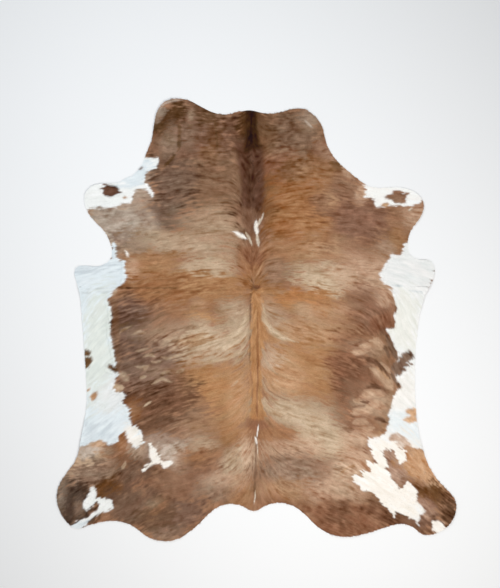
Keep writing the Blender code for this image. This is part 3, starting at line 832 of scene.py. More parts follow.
# ---- The studio
FLOOR_Z = -0.0005
FLOOR_HALF = 6.0
FLOOR_COLOUR = (0.90, 0.905, 0.91)
Lamp = namedtuple("Lamp", "name place aim size power colour")
LAMPS = (
    Lamp("key", (0.62, -1.15, 3.1), (0.08, -0.10, 0), 2.0, 73.5, (1.0, 0.97, 0.935)),
    Lamp("fill", (-0.75, 1.45, 3.0), (0.0, 0.0, 0), 2.2, 54, (0.90, 0.95, 1.0)),
)
WORLD_COLOUR = (0.97, 0.985, 1.0)
WORLD_STRENGTH = 0.24
CAMERA_PLACE = (-0.030, 0.125, 4.101)
CAMERA_LENS = 50
CAMERA_SENSOR = 36


def smooth_step(t):
    t = np.clip(t, 0, 1)
    return t * t * (3 - 2 * t)


def to_linear(tone):
    """An sRGB tone of 0 to 255 as linear values."""
    share = np.asarray(tone, dtype=np.float32) / 255
    return np.where(share <= 0.04045, share / 12.92, ((share + 0.055) / 1.055) ** 2.4)


def turned(direction, angle):
    cos = np.cos(angle)
    sin = np.sin(angle)
    return direction[0] * cos - direction[1] * sin, direction[0] * sin + direction[1] * cos


class Grid:
    """Square cells over the hide. A field is an array with one value for each cell."""

    def __init__(self, low, high, cell):
        self.low = low
        self.cell = cell
        self.columns = int((high[0] - low[0]) / cell) + 2
        self.rows = int((high[1] - low[1]) / cell) + 2
        xs = (low[0] + cell * np.arange(self.columns)).astype(np.float32)
        ys = (low[1] + cell * np.arange(self.rows)).astype(np.float32)
        self.x, self.y = np.meshgrid(xs, ys)

    def coarser(self, cell):
        return Grid(self.low, (self.x.max(), self.y.max()), cell)

    def cells_of(self, x, y):
        """Column and row of places in metres, with their fractions."""
        column = np.clip((x - self.low[0]) / self.cell, 0, self.columns - LAST_CELL)
        row = np.clip((y - self.low[1]) / self.cell, 0, self.rows - LAST_CELL)
        return column, row

    def sample(self, field, x, y):
        """The field between the cells, at places in metres."""
        column, row = self.cells_of(x, y)
        c = column.astype(np.int32)
        r = row.astype(np.int32)
        right = (column - c).astype(np.float32)
        up = (row - r).astype(np.float32)
        if field.ndim == 3:
            right = right[..., None]
            up = up[..., None]
        lower = field[r, c] * (1 - right) + field[r, c + 1] * right
        upper = field[r + 1, c] * (1 - right) + field[r + 1, c + 1] * right
        return lower * (1 - up) + upper * up

    def nearest(self, field, x, y):
        """The field at the cell nearest to each place."""
        column, row = self.cells_of(x, y)
        return field[(row + 0.5).astype(np.int32), (column + 0.5).astype(np.int32)]

    def window(self, points, margin):
        """The slices of the cells around some points."""
        low = points.min(0) - margin
        high = points.max(0) + margin
        start = [max(int((low[k] - self.low[k]) / self.cell), 0) for k in (0, 1)]
        stop = [max(int((high[k] - self.low[k]) / self.cell) + 2, 1) for k in (0, 1)]
        return slice(start[1], stop[1]), slice(start[0], stop[0])

    def noise(self, rng, size):
        """A smooth random field with spots of about that size."""
        coarse = self.coarser(size)
        lattice = rng.standard_normal((coarse.rows + 1, coarse.columns + 1)).astype(np.float32)
        return coarse.sample(lattice, self.x, self.y)


# ---- Outlines and routes


def outline_of(node):
    """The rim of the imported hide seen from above, as evenly spaced points, counter-clockwise."""
    mesh = node.data
    key_of = [(round(v.co.x / SAME_PLACE), round(v.co.y / SAME_PLACE)) for v in mesh.vertices]
    place = {key: vert.co.to_2d() for key, vert in zip(key_of, mesh.vertices)}
    beside = {}
    for face in mesh.polygons:
        if abs(face.normal.z) > WALL_TILT:
            continue
        keys = [key_of[i] for i in face.vertices]
        for a, b in zip(keys, keys[1:] + keys[:1]):
            if a != b:
                beside.setdefault(a, set()).add(b)
                beside.setdefault(b, set()).add(a)
    start = min(beside)
    loop = [start]
    came_from = None
    while True:
        ahead = [key for key in beside[loop[-1]] if key != came_from and key not in loop[-3:-1]]
        came_from = loop[-1]
        step = min(ahead, key=lambda key: (place[key] - place[came_from]).length)
        if step == start or len(loop) > len(beside):
            break
        loop.append(step)
    points = np.array([place[key][:] for key in loop])
    ahead = np.roll(points, -1, axis=0)
    if np.sum(points[:, 0] * ahead[:, 1] - ahead[:, 0] * points[:, 1]) < 0:
        points = points[::-1]
    return soften(respace(points, OUTLINE_PITCH), OUTLINE_SOFTNESS / OUTLINE_PITCH)


def respace(points, pitch):
    """The closed loop with evenly spaced points."""
    closed = np.vstack([points, points[:1]])
    steps = np.linalg.norm(np.diff(closed, axis=0), axis=1)
    along = np.concatenate([[0], np.cumsum(steps)])
    count = int(along[-1] / pitch)
    wanted = np.arange(count) * along[-1] / count
    return np.stack([np.interp(wanted, along, closed[:, k]) for k in (0, 1)], axis=1)


def soften(points, spread):
    """The closed loop smoothed over that many points."""
    reach = int(3 * spread) + 1
    offsets = range(-reach, reach + 1)
    weights = [math.exp(-((o / spread) ** 2) / 2) for o in offsets]
    total = sum(np.roll(points, o, axis=0) * w for o, w in zip(offsets, weights))
    return total / sum(weights)


def inside_of(outline, x, y):
    """True for the cells inside the outline. Rows of cells share their y."""
    inside = np.zeros(x.shape, dtype=bool)
    ahead = np.roll(outline, -1, axis=0)
    for row, level in enumerate(y[:, 0]):
        crossing = (outline[:, 1] <= level) != (ahead[:, 1] <= level)
        a = outline[crossing]
        b = ahead[crossing]
        xs = np.sort(a[:, 0] + (level - a[:, 1]) / (b[:, 1] - a[:, 1]) * (b[:, 0] - a[:, 0]))
        inside[row] = np.searchsorted(xs, x[row]) % 2 == 1
    return inside


def rim_distance(grid, outline, inside):
    """Distance to the rim, positive inside, up to RIM_BAND."""
    reach = int(RIM_BAND / grid.cell)
    near = spread_out(inside, reach) & spread_out(~inside, reach)
    dense = respace(outline, grid.cell / 2)
    tree = KDTree(len(dense))
    for i, (x, y) in enumerate(dense):
        tree.insert((x, y, 0), i)
    tree.balance()
    distance = np.where(inside, RIM_BAND, -RIM_BAND).astype(np.float32)
    for cell in zip(*np.nonzero(near)):
        away = min(tree.find((grid.x[cell], grid.y[cell], 0))[2], RIM_BAND)
        distance[cell] = away if inside[cell] else -away
    return distance


def spread_out(mask, cells):
    """The mask grown by that many cells."""
    for axis in (0, 1):
        grown = mask.copy()
        for shift in range(1, cells + 1):
            grown |= np.roll(mask, shift, axis) | np.roll(mask, -shift, axis)
        mask = grown
    return mask


def route_place(route, x, y):
    """Distance from each place to the route, and how far along the route its nearest point is."""
    start = 0.0
    nearest = np.full(x.shape, np.inf)
    along = np.zeros(x.shape)
    for a, b in zip(route, route[1:]):
        dx, dy = b - a
        length = np.hypot(dx, dy)
        share = np.clip(((x - a[0]) * dx + (y - a[1]) * dy) / length**2, 0, 1)
        away = np.hypot(x - a[0] - share * dx, y - a[1] - share * dy)
        closer = away < nearest
        along = np.where(closer, start + share * length, along)
        nearest = np.where(closer, away, nearest)
        start += length
    return nearest, along / start


def zoned(zones, x, y, join=np.add, start=0):
    """The zones' values at places in metres, joined to a start."""
    total = np.full(x.shape, start, dtype=float)
    for zone in zones:
        away_x = (x - zone.x * MM) / (zone.reach_x * MM)
        away_y = (y - zone.y * MM) / (zone.reach_y * MM)
        share = smooth_step((ZONE_REACH - np.hypot(away_x, away_y)) / ZONE_EDGE)
        total = join(total, zone.value * share)
    return total


def fuzz_at(x, y):
    """How fuzzy the hair is at places in metres, 0 to 1."""
    return zoned(FUZZY_ZONES, x, y, np.maximum)


# ---- Heights


def frame_heights(grid, node):
    """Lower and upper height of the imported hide, continued past its rim."""
    tree = BVHTree.FromObject(node, bpy.context.evaluated_depsgraph_get())
    levels = []
    for direction in (1, -1):
        level = np.full(grid.x.shape, np.nan, dtype=np.float32)
        for cell in np.ndindex(grid.x.shape):
            origin = Vector((grid.x[cell], grid.y[cell], -direction))
            hit = tree.ray_cast(origin, Vector((0, 0, direction)))[0]
            if hit:
                level[cell] = hit.z
        levels.append(smoothed(continued(level)))
    return levels


def continued(level):
    """Fills the empty cells from their neighbours outwards."""
    while np.isnan(level).any():
        around = [np.roll(level, shift, axis) for axis in (0, 1) for shift in (-1, 1)]
        known = np.sum([~np.isnan(a) for a in around], axis=0)
        mean = np.nansum(around, axis=0) / np.maximum(known, 1)
        level = np.where(np.isnan(level) & (known > 0), mean, level)
    return level


def smoothed(level, times=2):
    for _ in range(times):
        for axis in (0, 1):
            level = (np.roll(level, 1, axis) + 2 * level + np.roll(level, -1, axis)) / 4
    return level


def crease_relief(grid):
    """Height of the creases in each cell: a narrow trough between two low lips."""
    relief = np.zeros(grid.x.shape, dtype=np.float32)
    lip_height, lip_place, lip_width = CREASE_LIPS
    for crease in CREASES:
        route = np.array(crease.route) * MM
        window = grid.window(route, CREASE_MARGIN)
        away = route_place(route, grid.x[window], grid.y[window])[0] / (crease.half_width * MM)
        lips = lip_height * np.exp(-(((away - lip_place) / lip_width) ** 2))
        relief[window] += crease.depth * MM * (lips - np.exp(-(away**2)))
    return relief


# ---- The lie of the hair


def spine_x(y):
    """The spine's x at y, in metres."""
    ys, xs = np.array(SPINE[::-1]).T * MM
    return np.interp(y, ys, xs)


def lie_of_hair(grid, rng):
    """The direction in which the hair points, as fields along x and y."""
    coarse = grid.coarser(LIE_CELL)
    away = np.abs(coarse.x - spine_x(coarse.y))
    outward = np.zeros(away.shape)
    north = np.zeros(away.shape)
    for y, strokes in COMB.items():
        for distance, direction in strokes:
            dx = (away - distance * MM) / (COMB_REACH[0] + distance * MM * COMB_SPREAD)
            dy = (coarse.y - y * MM) / COMB_REACH[1]
            weight = np.exp(-(dx * dx + dy * dy) / 2) + TINY
            outward += weight * math.cos(math.radians(direction))
            north += weight * math.sin(math.radians(direction))
    from_spine = grid.x - spine_x(grid.y)
    across = coarse.sample(outward, grid.x, grid.y) * np.clip(from_spine / PARTING, -1, 1)
    north = coarse.sample(north, grid.x, grid.y)
    size = np.hypot(across, north) + TINY
    waves = sum(grid.noise(rng, spot) * turn for spot, turn in LIE_WAVES)
    leans = np.radians(zoned(LEAN_ZONES, grid.x, grid.y))
    lie = turned((across / size, north / size), waves + leans)
    return [part.astype(np.float32) for part in lie]


def combed(grid, rng, lie, size, reach, steps):
    """Noise smeared along the hair, over that reach both ways; mean 0, spread 1."""
    noise = grid.noise(rng, size)
    total = noise.copy()
    for way in (-1, 1):
        x = grid.x
        y = grid.y
        step = way * reach / steps
        for _ in range(steps):
            along_x = grid.nearest(lie[0], x, y)
            along_y = grid.nearest(lie[1], x, y)
            x = x + step * along_x
            y = y + step * along_y
            total += grid.sample(noise, x, y)
    return (total - total.mean()) / total.std()


# ---- Painting


class Canvas:
    """The darker and the lighter hairs' colour in each cell, and what makes edges ragged."""

    def __init__(self, grid, ragged, warp):
        self.grid = grid
        self.ragged = ragged
        self.warp = warp
        self.tones = np.zeros((2, *grid.x.shape, 3), dtype=np.float32)
        self.tones += to_linear(TONES[BASE_TONE])[:, None, None, :]

    def lay(self, window, cover, tone):
        for level, colour in zip(self.tones, to_linear(TONES[tone])):
            level[window] += (colour - level[window]) * cover[..., None]

    def patch(self, patch, within=None):
        turn = math.radians(patch.turn)
        centre = np.array((patch.x, patch.y)) * MM
        window = self.grid.window(centre[None], max(patch.along, patch.across) * MM * PATCH_REACH)
        narrow = min(patch.along, patch.across) * MM
        warp = WARP_SHIFT * min(1, narrow / WARP_SIZE)
        x = self.grid.x[window] - centre[0] + warp * self.warp[0][window]
        y = self.grid.y[window] - centre[1] + warp * self.warp[1][window]
        along, across = turned((x, y), -turn)
        along = np.abs(along / (patch.along * MM)) ** PATCH_SQUARENESS
        across = np.abs(across / (patch.across * MM)) ** PATCH_SQUARENESS
        away = (along + across) ** (1 / PATCH_SQUARENESS)
        away += (PATCH_RAGGED[0] + PATCH_RAGGED[1] / narrow) * self.ragged[window]
        cover = patch.strength * smooth_step((PATCH_EDGE[1] - away) / PATCH_EDGE[0])
        self.lay(window, cover if within is None else cover * within[window], patch.tone)

    def area(self, area, inset=0):
        outline = np.array(area.outline) * MM
        window = self.grid.window(outline, AREA_MARGIN)
        x = self.grid.x[window]
        y = self.grid.y[window]
        away = route_place(np.vstack([outline, outline[:1]]), x, y)[0]
        depth = np.where(inside_of(outline, x, y), away, -away) - inset
        depth += min(AREA_RAGGED[0], AREA_RAGGED[1] * np.ptp(outline, axis=0).min()) * self.ragged[window]
        cover = area.strength * smooth_step(0.5 + depth / (2 * area.softness * MM))
        self.lay(window, cover, area.tone)

    def line(self, line):
        route = np.array(line.route) * MM
        half_width = line.half_width * MM
        window = self.grid.window(route, LINE_MARGIN)
        away, share = route_place(route, self.grid.x[window], self.grid.y[window])
        away += min(LINE_RAGGED[0], LINE_RAGGED[1] * half_width) * self.ragged[window]
        half_width *= smooth_step(np.minimum(share, 1 - share) / LINE_TAPER + LINE_END)
        self.lay(window, line.strength * smooth_step(LINE_REACH - away / half_width), line.tone)


def paint_coat(grid, lie, rng):
    """The coat's colour in each cell, and the streaks that the locks' heights follow."""
    fuzz = fuzz_at(grid.x, grid.y)
    fields = {}
    for layer in LAYERS:
        field = combed(grid, rng, lie, layer.size, layer.reach, layer.steps)
        fields[layer.name] = field * (layer.combed + layer.fuzzy * fuzz)
    ragged = sum(layer.ragged * fields[layer.name] for layer in LAYERS)
    redness = sum(share * combed(grid, rng, lie, *make) for share, *make in REDNESS_LAYERS)
    canvas = Canvas(grid, ragged, [grid.noise(rng, WARP_SIZE) for _ in range(2)])
    for patch in PATCHES:
        canvas.patch(patch)
    for area in AREAS:
        canvas.area(area)
    for line in LINES:
        canvas.line(line)
    coloured = canvas.tones[0].copy()
    for marking in MARKINGS:
        canvas.area(marking, MARKING_INSET)
    white = np.abs(canvas.tones[0] - coloured).sum(axis=2) > WHITE_CHANGE
    # Painted light and shade, laid on the white markings only.
    for patch in PAINTED_LIGHT_ON_WHITE:
        canvas.patch(patch, white)
    for spot in SPOTS:
        canvas.area(spot)
    for line in WHITE_LINES:
        canvas.line(line)
    contrast = zoned(CONTRAST_ZONES, grid.x, grid.y, start=1)
    light_share = sum(layer.light * fields[layer.name] for layer in LAYERS)
    light_share = np.clip(0.5 + contrast * light_share, *LIGHT_RANGE)[..., None]
    colour = canvas.tones[0] + (canvas.tones[1] - canvas.tones[0]) * light_share
    fade_from, fade_range, fade = REDNESS_FADE
    redness *= 1 - fade * smooth_step((colour.mean(axis=2) - fade_from) / fade_range)
    colour *= 1 + redness[..., None] * np.array(REDNESS)
    return np.clip((colour - SHEEN) / LIT_SHARE, LEAST_COLOUR, 1), fields["streaks"]


class Hide:
    """The hide as it lies: its outline, heights, lie of hair and colours."""

    def __init__(self, node, rng):
        low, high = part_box(node.name)
        low = (low[0] - MARGIN, low[1] - MARGIN)
        high = (high[0] + MARGIN, high[1] + MARGIN)
        self.grid = Grid(low, high, CELL)
        self.outline = outline_of(node)
        inside = inside_of(self.outline, self.grid.x, self.grid.y)
        self.rim = rim_distance(self.grid, self.outline, inside)
        self.lie = lie_of_hair(self.grid, rng)
        self.colour, self.streaks = paint_coat(self.grid, self.lie, rng)
        self.coarse = Grid(low, high, HEIGHT_CELL)
        self.under, self.over = frame_heights(self.coarse, node)
        cockle = self.grid.noise(rng, COCKLE_SIZE)
        self.relief = crease_relief(self.grid) + COCKLE_HEIGHT * np.maximum(cockle, 0)

    def underside(self, x, y):
        height = self.coarse.sample(self.under, x, y) + self.grid.sample(self.relief, x, y)
        return np.maximum(height, 0)

    def skin_top(self, x, y):
        return self.underside(x, y) + LEATHER_THICKNESS

    def coat_depth(self, x, y):
        """From the skin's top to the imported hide's top."""
        thickness = self.coarse.sample(self.over, x, y) - self.coarse.sample(self.under, x, y)
        return np.maximum(thickness - LEATHER_THICKNESS, LEAST_COAT)

    def lie_at(self, x, y):
        return [self.grid.sample(part, x, y) for part in self.lie]


# ---- Skin


def placed(name, data):
    """A new object in the scene."""
    thing = bpy.data.objects.new(name, data)
    bpy.context.scene.collection.objects.link(thing)
    return thing


def skin_points(hide):
    """The outline's points, then points spread evenly inside it."""
    grid = hide.grid
    spread = []
    for index, y in enumerate(np.arange(grid.low[1], grid.y.max(), SKIN_PITCH * ROW_SPACING)):
        xs = np.arange(grid.low[0] + (index % 2) * SKIN_PITCH / 2, grid.x.max(), SKIN_PITCH)
        ys = np.full(xs.shape, y)
        keep = grid.sample(hide.rim, xs, ys) > RIM_CLEARANCE
        spread.append(np.stack([xs[keep], ys[keep]], axis=1))
    return np.vstack([hide.outline, *spread])


def make_skin(hide):
    """The tanned skin under the coat: a thin closed sheet, suede below."""
    points = skin_points(hide)
    rim_count = len(hide.outline)
    rim_edges = [(i, (i + 1) % rim_count) for i in range(rim_count)]
    flat = delaunay_2d_cdt([Vector(p) for p in points.tolist()], rim_edges, [], 1, MERGE_DISTANCE)
    places = np.array([v[:] for v in flat[0]])
    triangles = flat[2]
    x, y = places.T
    top = np.stack([x, y, hide.skin_top(x, y)], axis=1)
    bottom = np.stack([x, y, hide.underside(x, y)], axis=1)
    count = len(places)
    sides = {(a, b) for t in triangles for a, b in zip(t, t[1:] + t[:1])}
    walls = [(a, a + count, b + count, b) for a, b in sides if (b, a) not in sides]
    backs = [[i + count for i in reversed(t)] for t in triangles]
    mesh = bpy.data.meshes.new("skin")
    mesh.from_pydata(np.vstack([top, bottom]).tolist(), [], [*triangles, *backs, *walls])
    kinds = np.repeat((TOP, BACK, WALL), (len(triangles), len(backs), len(walls)))
    mesh.polygons.foreach_set("material_index", kinds.astype(np.int32))
    mesh.shade_smooth()
    mark_sharp_rim(mesh, kinds)
    # Painted shade: the skin takes the coat's colour, darkened.
    colours = hide.grid.sample(hide.colour, x, y) * SKIN_PAINTED_SHADE
    write_colours(mesh, np.vstack([colours, colours]))
    write_map(mesh, skin_map(mesh, kinds, np.vstack([places, places])))
    for material in (skin_material(), suede_material(), cut_edge_material()):
        mesh.materials.append(material)
    return placed("skin", mesh)


def mark_sharp_rim(mesh, kinds):
    """Edges between the walls and the two sides stay sharp."""
    kind_of = {}
    for face, kind in zip(mesh.polygons, kinds.tolist()):
        for key in face.edge_keys:
            kind_of.setdefault(key, set()).add(kind)
    sharp = [len(kind_of[edge.key]) > 1 for edge in mesh.edges]
    mesh.attributes.new("sharp_edge", "BOOLEAN", "EDGE").data.foreach_set("value", sharp)


def write_colours(mesh, colours):
    layer = mesh.color_attributes.new("coat_colour", "FLOAT_COLOR", "POINT")
    layer.data.foreach_set("color", np.insert(colours, 3, 1, axis=1).astype(np.float32).ravel())


def write_map(mesh, uv):
    mesh.uv_layers.new(name="OFBake").data.foreach_set("uv", uv.astype(np.float32).ravel())


def skin_map(mesh, kinds, places):
    """Each corner's place on the map: seen from above, or for the wall, along the rim."""
    low = places.min(0)
    share = (places - low) / (places.max(0) - low).max()
    corner_vertex = np.zeros(len(mesh.loops), dtype=np.int32)
    mesh.loops.foreach_get("vertex_index", corner_vertex)
    corner_kind = np.repeat(kinds, np.where(kinds == WALL, 4, 3))
    uv = share[corner_vertex] * MAP_SCALE + MAP_MARGIN
    uv[:, 0] += BACK_SHIFT * (corner_kind == BACK)
    is_wall = corner_kind == WALL
    turn = np.arctan2(places[corner_vertex, 1], places[corner_vertex, 0]) / (2 * math.pi) + 0.5
    uv[is_wall, 1] = turn[is_wall] * (1 - 2 * MAP_MARGIN) + MAP_MARGIN
    uv[is_wall, 0] = WALL_START + MAP_MARGIN * (corner_vertex[is_wall] < len(places) // 2)
    return uv


# ---- Coat


def lock_roots(hide, rng):
    """Places of the locks' roots: rows of even spacing, each place moved a little."""
    grid = hide.grid
    pitch = LOCK_PITCH * 1
    xs = np.arange(grid.low[0], grid.x.max(), pitch)
    ys = np.arange(grid.low[1], grid.y.max(), pitch * ROW_SPACING)
    x, y = np.meshgrid(xs, ys)
    x[1::2] += pitch / 2
    x = (x + rng.uniform(-LOCK_SCATTER, LOCK_SCATTER, x.shape) * pitch).ravel()
    y = (y + rng.uniform(-LOCK_SCATTER, LOCK_SCATTER, y.shape) * pitch).ravel()
    keep = grid.sample(hide.rim, x, y) > ROOT_CLEARANCE
    return x[keep], y[keep]


def kept_inside(hide, x, y, direction, length, overhang):
    """The lengths, cut so that no tip hangs further over the rim than its overhang."""
    kept = STUB_SHARE * length
    for share in CUT_SHARES:
        tip_x = x + direction[0] * length * share
        tip_y = y + direction[1] * length * share
        fits = hide.grid.sample(hide.rim, tip_x, tip_y) > -overhang
        kept = np.where(fits, length * share, kept)
    return kept


def calm_white(brightness, calm):
    """The share that is left of a variation where the hair is that bright."""
    return 1 - calm * smooth_step((brightness - WHITE_FROM) / WHITE_RANGE)


def lock_places(hide, x, y, rng):
    """Each lock seen from above, as columns: its root, its left and right side and its tip."""
    count = len(x)
    clump = hide.grid.sample(hide.grid.noise(rng, CLUMP_SIZE), x, y)
    fuzz = fuzz_at(x, y)
    bend = clump * CLUMP_TURN + rng.standard_normal(count) * (LOCK_TURN + FUZZY_TURN * fuzz)
    start = turned(hide.lie_at(x, y), bend)
    zone_length = zoned(LENGTH_ZONES, x, y, lambda total, change: total * (1 + change), 1)
    length = LOCK_LENGTH * zone_length * (1 - FUZZY_SHORTENING * fuzz)
    length *= rng.uniform(*LENGTH_SHARE, count)
    length = kept_inside(hide, x, y, start, length, rng.uniform(*TIP_OVERHANG, count))
    middle_x = x + start[0] * length / 2
    middle_y = y + start[1] * length / 2
    end = turned(hide.lie_at(middle_x, middle_y), bend * BEND_GROWTH)
    half_width = LOCK_WIDTH / 2 * rng.uniform(*WIDTH_SHARE, count)
    side_x = -start[1] * half_width
    side_y = start[0] * half_width
    xs = [x, middle_x + side_x, middle_x - side_x, middle_x + end[0] * length / 2]
    ys = [y, middle_y + side_y, middle_y - side_y, middle_y + end[1] * length / 2]
    return np.stack(xs, axis=1), np.stack(ys, axis=1)


def lock_heights(hide, xs, ys, rng):
    """Each lock's heights: it rises from the skin, and one of its sides is a little higher."""
    count = len(xs)
    brightness = hide.grid.sample(hide.colour, xs[:, 0], ys[:, 0]).mean(axis=1)
    fine_hair = calm_white(brightness, FINE_HAIR_CALM)
    streak = hide.grid.sample(hide.streaks, xs[:, 1:3].mean(axis=1), ys[:, 1:3].mean(axis=1))
    streak = np.clip(streak, -MOST_STREAK, MOST_STREAK) * STREAK_RELIEF * fine_hair
    crown = rng.uniform(*CROWN_SHARE, count) * fine_hair
    tip = rng.uniform(*TIP_SHARE, count) * fine_hair
    zero = np.zeros(count)
    share = np.stack([zero + ROOT_SHARE, crown, crown, tip], axis=1)
    lean = rng.uniform(-LOCK_LEAN, LOCK_LEAN, count)
    added = np.stack([zero, streak + lean, streak - lean, streak], axis=1)
    rise = share * hide.coat_depth(xs, ys) + added
    return hide.skin_top(xs, ys) + np.maximum(rise, LOWEST_LOCK)


def make_coat(hide, rng):
    """Every lock of the coat, in a piece for each side of each band."""
    x, y = lock_roots(hide, rng)
    xs, ys = lock_places(hide, x, y, rng)
    places = np.stack([xs, ys, lock_heights(hide, xs, ys, rng)], axis=2)
    colours = lock_colours(hide, xs, ys, rng)
    strands = np.zeros(places.shape, dtype=np.float32)
    strands[:, :, 0] = (0, -1, 1, 0)
    strands[:, :, 1] = (0, 0.5, 0.5, 1)
    strands[:, :, 2] = rng.uniform(0, 1, len(x))[:, None]
    material = coat_material()
    side_of = np.where(x < spine_x(y), -1, 1)
    pieces = []
    for band, (low, high) in BANDS.items():
        for side, sign in SIDES.items():
            mine = (side_of == sign) & (y >= low) & (y < high)
            name = f"coat_{side}_{band}"
            pieces.append(coat_piece(name, places[mine], colours[mine], strands[mine], material))
    return pieces


def lock_colours(hide, xs, ys, rng):
    """A lock is mostly of one colour, taken where it shows, and a little of what lies under it."""
    own = hide.grid.sample(hide.colour, xs, ys)
    spot_x = xs[:, 0] + (xs[:, 3] - xs[:, 0]) * COLOUR_SPOT
    spot_y = ys[:, 0] + (ys[:, 3] - ys[:, 0]) * COLOUR_SPOT
    whole = hide.grid.sample(hide.colour, spot_x, spot_y)[:, None, :]
    calm = calm_white(whole.mean(axis=2), WHITE_CALM)[..., None]
    bright = 1 + rng.normal(0, LOCK_BRIGHTNESS, len(xs))[:, None, None] * calm
    return np.clip((own * (1 - LOCK_SHARE) + whole * LOCK_SHARE) * bright, 0, 1)


def coat_piece(name, places, colours, strands, material):
    """Two triangles for each lock. A strand is its place across and along the lock, and chance."""
    count = len(places)
    mesh = bpy.data.meshes.new(name)
    mesh.vertices.add(count * 4)
    mesh.vertices.foreach_set("co", places.astype(np.float32).ravel())
    corners = (np.array((0, 2, 1, 2, 3, 1)) + 4 * np.arange(count)[:, None]).ravel()
    mesh.loops.add(count * 6)
    mesh.loops.foreach_set("vertex_index", corners.astype(np.int32))
    mesh.polygons.add(count * 2)
    mesh.polygons.foreach_set("loop_start", np.arange(0, count * 6, 3, dtype=np.int32))
    mesh.update(calc_edges=True)
    mesh.shade_smooth()
    write_colours(mesh, colours.reshape(-1, 3))
    strand = mesh.attributes.new("strand", "FLOAT_VECTOR", "POINT")
    strand.data.foreach_set("vector", strands.ravel())
    flat = places.reshape(-1, 3)[:, :2]
    low = flat.min(0)
    write_map(mesh, ((flat - low) / (flat.max(0) - low).max())[corners])
    mesh.materials.append(material)
    return placed(name, mesh)


# ---- Materials


class Nodes:
    """Short ways to add and join a material's nodes."""

    def __init__(self, name, roughness, specular):
        self.material = bpy.data.materials.new(name)
        self.material.use_nodes = True
        self.tree = self.material.node_tree
        self.shader = self.tree.nodes["Principled BSDF"]
        self.shader.inputs["Roughness"].default_value = roughness
        self.shader.inputs["Specular IOR Level"].default_value = specular

    def feed(self, socket, value):
        """Links the socket to another one, or sets its value."""
        if isinstance(value, bpy.types.NodeSocket):
            self.tree.links.new(value, socket)
        else:
            socket.default_value = value

    def add(self, kind, **inputs):
        node = self.tree.nodes.new("ShaderNode" + kind)
        for name, value in inputs.items():
            self.feed(node.inputs[name.replace("_", " ")], value)
        return node

    def attribute(self, name, output):
        node = self.add("Attribute")
        node.attribute_name = name
        return node.outputs[output]

    def place(self):
        return self.add("TexCoord").outputs["Object"]

    def math(self, operation, a, b):
        node = self.add("Math")
        node.operation = operation
        self.feed(node.inputs[0], a)
        self.feed(node.inputs[1], b)
        return node.outputs[0]

    def times(self, a, b):
        return self.math("MULTIPLY", a, b)

    def noise(self, vector, scale, detail=2.0, roughness=0.5):
        inputs = {"Vector": vector, "Scale": scale, "Detail": detail, "Roughness": roughness}
        return self.add("TexNoise", **inputs).outputs["Fac"]

    def stretch(self, value, low, high):
        """A value of 0 to 1 spread from low to high."""
        return self.add("MapRange", Value=value, To_Min=low, To_Max=high).outputs["Result"]

    def colour(self, base, factor):
        """The base colour, made lighter or darker by a factor."""
        node = self.add("VectorMath")
        node.operation = "SCALE"
        self.feed(node.inputs[0], base)
        self.feed(node.inputs["Scale"], factor)
        self.feed(self.shader.inputs["Base Color"], node.outputs["Vector"])

    def bump(self, height, strength, distance):
        node = self.add("Bump", Height=height, Strength=strength, Distance=distance)
        self.feed(self.shader.inputs["Normal"], node.outputs["Normal"])


def coat_material():
    """Hair: fine lines along each lock, darker at the root."""
    nodes = Nodes("coat", roughness=0.60, specular=0.08)
    strand = nodes.add("SeparateXYZ", Vector=nodes.attribute("strand", "Vector"))
    across, along, chance = strand.outputs
    hair = nodes.add(
        "CombineXYZ",
        X=nodes.math("ADD", nodes.times(across, LINES_ACROSS), nodes.times(chance, LOCKS_APART[0])),
        Y=nodes.times(along, LINES_ALONG),
        Z=nodes.times(chance, LOCKS_APART[1]),
    )
    lines = nodes.noise(hair.outputs["Vector"], LINES_SCALE)
    colour = nodes.attribute("coat_colour", "Color")
    brightness = nodes.add("RGBToBW", Color=colour).outputs["Val"]
    calm = nodes.stretch(brightness, 1.0, LINES_IN_WHITE)
    swing = nodes.times(nodes.stretch(lines, -LINES_SWING, LINES_SWING), calm)
    nodes.colour(colour, nodes.times(nodes.math("ADD", swing, 1.0), nodes.stretch(along, *ROOT_TO_TIP)))
    nodes.bump(lines, strength=0.30, distance=0.0006)
    return nodes.material


def skin_material():
    """The skin's top between the locks, in the coat's colours darkened as painted shade in the gaps."""
    nodes = Nodes("coat_base", roughness=0.65, specular=0.20)
    fine = nodes.noise(nodes.place(), scale=260.0, detail=3.0)
    nodes.colour(nodes.attribute("coat_colour", "Color"), nodes.stretch(fine, 0.7, 1.2))
    nodes.bump(fine, strength=0.3, distance=0.001)
    return nodes.material


def suede_material():
    """Grey-beige suede with a fine nap and cloudy tanning marks."""
    nodes = Nodes("suede", roughness=0.92, specular=0.12)
    place = nodes.place()
    nap = nodes.noise(place, scale=620.0, detail=4.0, roughness=0.65)
    clouds = nodes.noise(place, scale=5.0, detail=4.0, roughness=0.6)
    mixed = nodes.add("Mix", Factor=nodes.stretch(clouds, 0.0, 1.0))
    mixed.data_type = "RGBA"
    mixed.inputs["A"].default_value = (0.47, 0.42, 0.36, 1)
    mixed.inputs["B"].default_value = (0.60, 0.56, 0.50, 1)
    nodes.colour(mixed.outputs["Result"], nodes.stretch(nap, 0.82, 1.14))
    nodes.bump(nap, strength=0.5, distance=0.0008)
    nodes.shader.inputs["Sheen Weight"].default_value = 0.25
    return nodes.material


def cut_edge_material():
    """The leather's pale cut edge, with its fibres."""
    nodes = Nodes("cut_edge", roughness=0.8, specular=0.15)
    fibres = nodes.noise(nodes.place(), scale=900.0, detail=3.0)
    base = nodes.add("RGB").outputs[0]
    base.default_value = (0.56, 0.49, 0.40, 1)
    nodes.colour(base, nodes.stretch(fibres, 0.75, 1.2))
    nodes.bump(fibres, strength=0.4, distance=0.0004)
    return nodes.material


# ---- Floor, light and camera


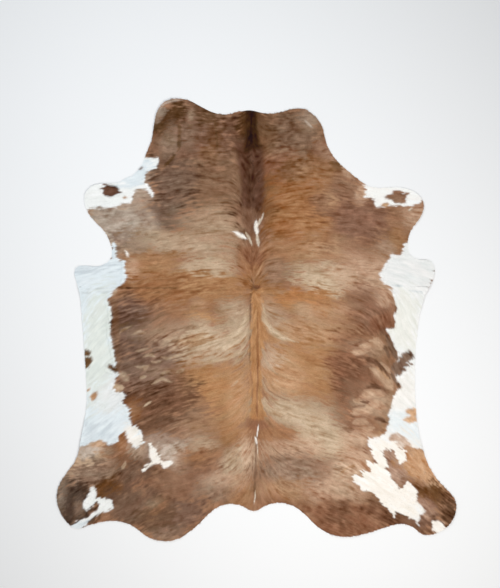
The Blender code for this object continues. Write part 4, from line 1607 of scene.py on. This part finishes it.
def make_floor():
    mesh = bpy.data.meshes.new("floor")
    signs = ((-1, -1), (1, -1), (1, 1), (-1, 1))
    mesh.from_pydata([(x * FLOOR_HALF, y * FLOOR_HALF, FLOOR_Z) for x, y in signs], [], [(0, 1, 2, 3)])
    nodes = Nodes("floor", roughness=0.75, specular=0.2)
    nodes.shader.inputs["Base Color"].default_value = (*FLOOR_COLOUR, 1)
    mesh.materials.append(nodes.material)
    placed("floor", mesh)


def make_lights():
    for lamp in LAMPS:
        light = bpy.data.lights.new(lamp.name, "AREA")
        light.shape = "SQUARE"
        light.size = lamp.size
        light.energy = lamp.power
        light.color = lamp.colour
        holder = placed(lamp.name, light)
        holder.location = lamp.place
        towards = Vector(lamp.aim) - Vector(lamp.place)
        holder.rotation_euler = towards.to_track_quat("-Z", "Y").to_euler()
    scene = bpy.context.scene
    scene.world = bpy.data.worlds.new("world")
    scene.world.use_nodes = True
    background = scene.world.node_tree.nodes["Background"]
    background.inputs["Color"].default_value = (*WORLD_COLOUR, 1)
    background.inputs["Strength"].default_value = WORLD_STRENGTH
    scene.view_settings.view_transform = "Standard"


def make_camera():
    """Straight above the hide, its neck at the top of the picture."""
    camera = bpy.data.cameras.new("camera")
    camera.lens = CAMERA_LENS
    camera.sensor_width = CAMERA_SENSOR
    holder = placed("camera", camera)
    holder.location = CAMERA_PLACE
    bpy.context.scene.camera = holder


def corners(box):
    return [list(corner) for corner in box]


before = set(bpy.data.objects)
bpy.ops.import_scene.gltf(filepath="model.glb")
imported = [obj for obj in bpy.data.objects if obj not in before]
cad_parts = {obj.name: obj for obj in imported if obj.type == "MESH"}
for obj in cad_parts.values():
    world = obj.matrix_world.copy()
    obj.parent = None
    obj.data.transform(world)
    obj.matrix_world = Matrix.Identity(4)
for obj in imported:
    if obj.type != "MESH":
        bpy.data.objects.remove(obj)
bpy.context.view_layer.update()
random = np.random.default_rng(SEED)
hide = Hide(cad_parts["cowhide"], random)
skin = make_skin(hide)
coat = make_coat(hide, random)
for piece in (skin, *coat):
    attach(piece, "root")
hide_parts("cowhide")
make_floor()
make_lights()
make_camera()
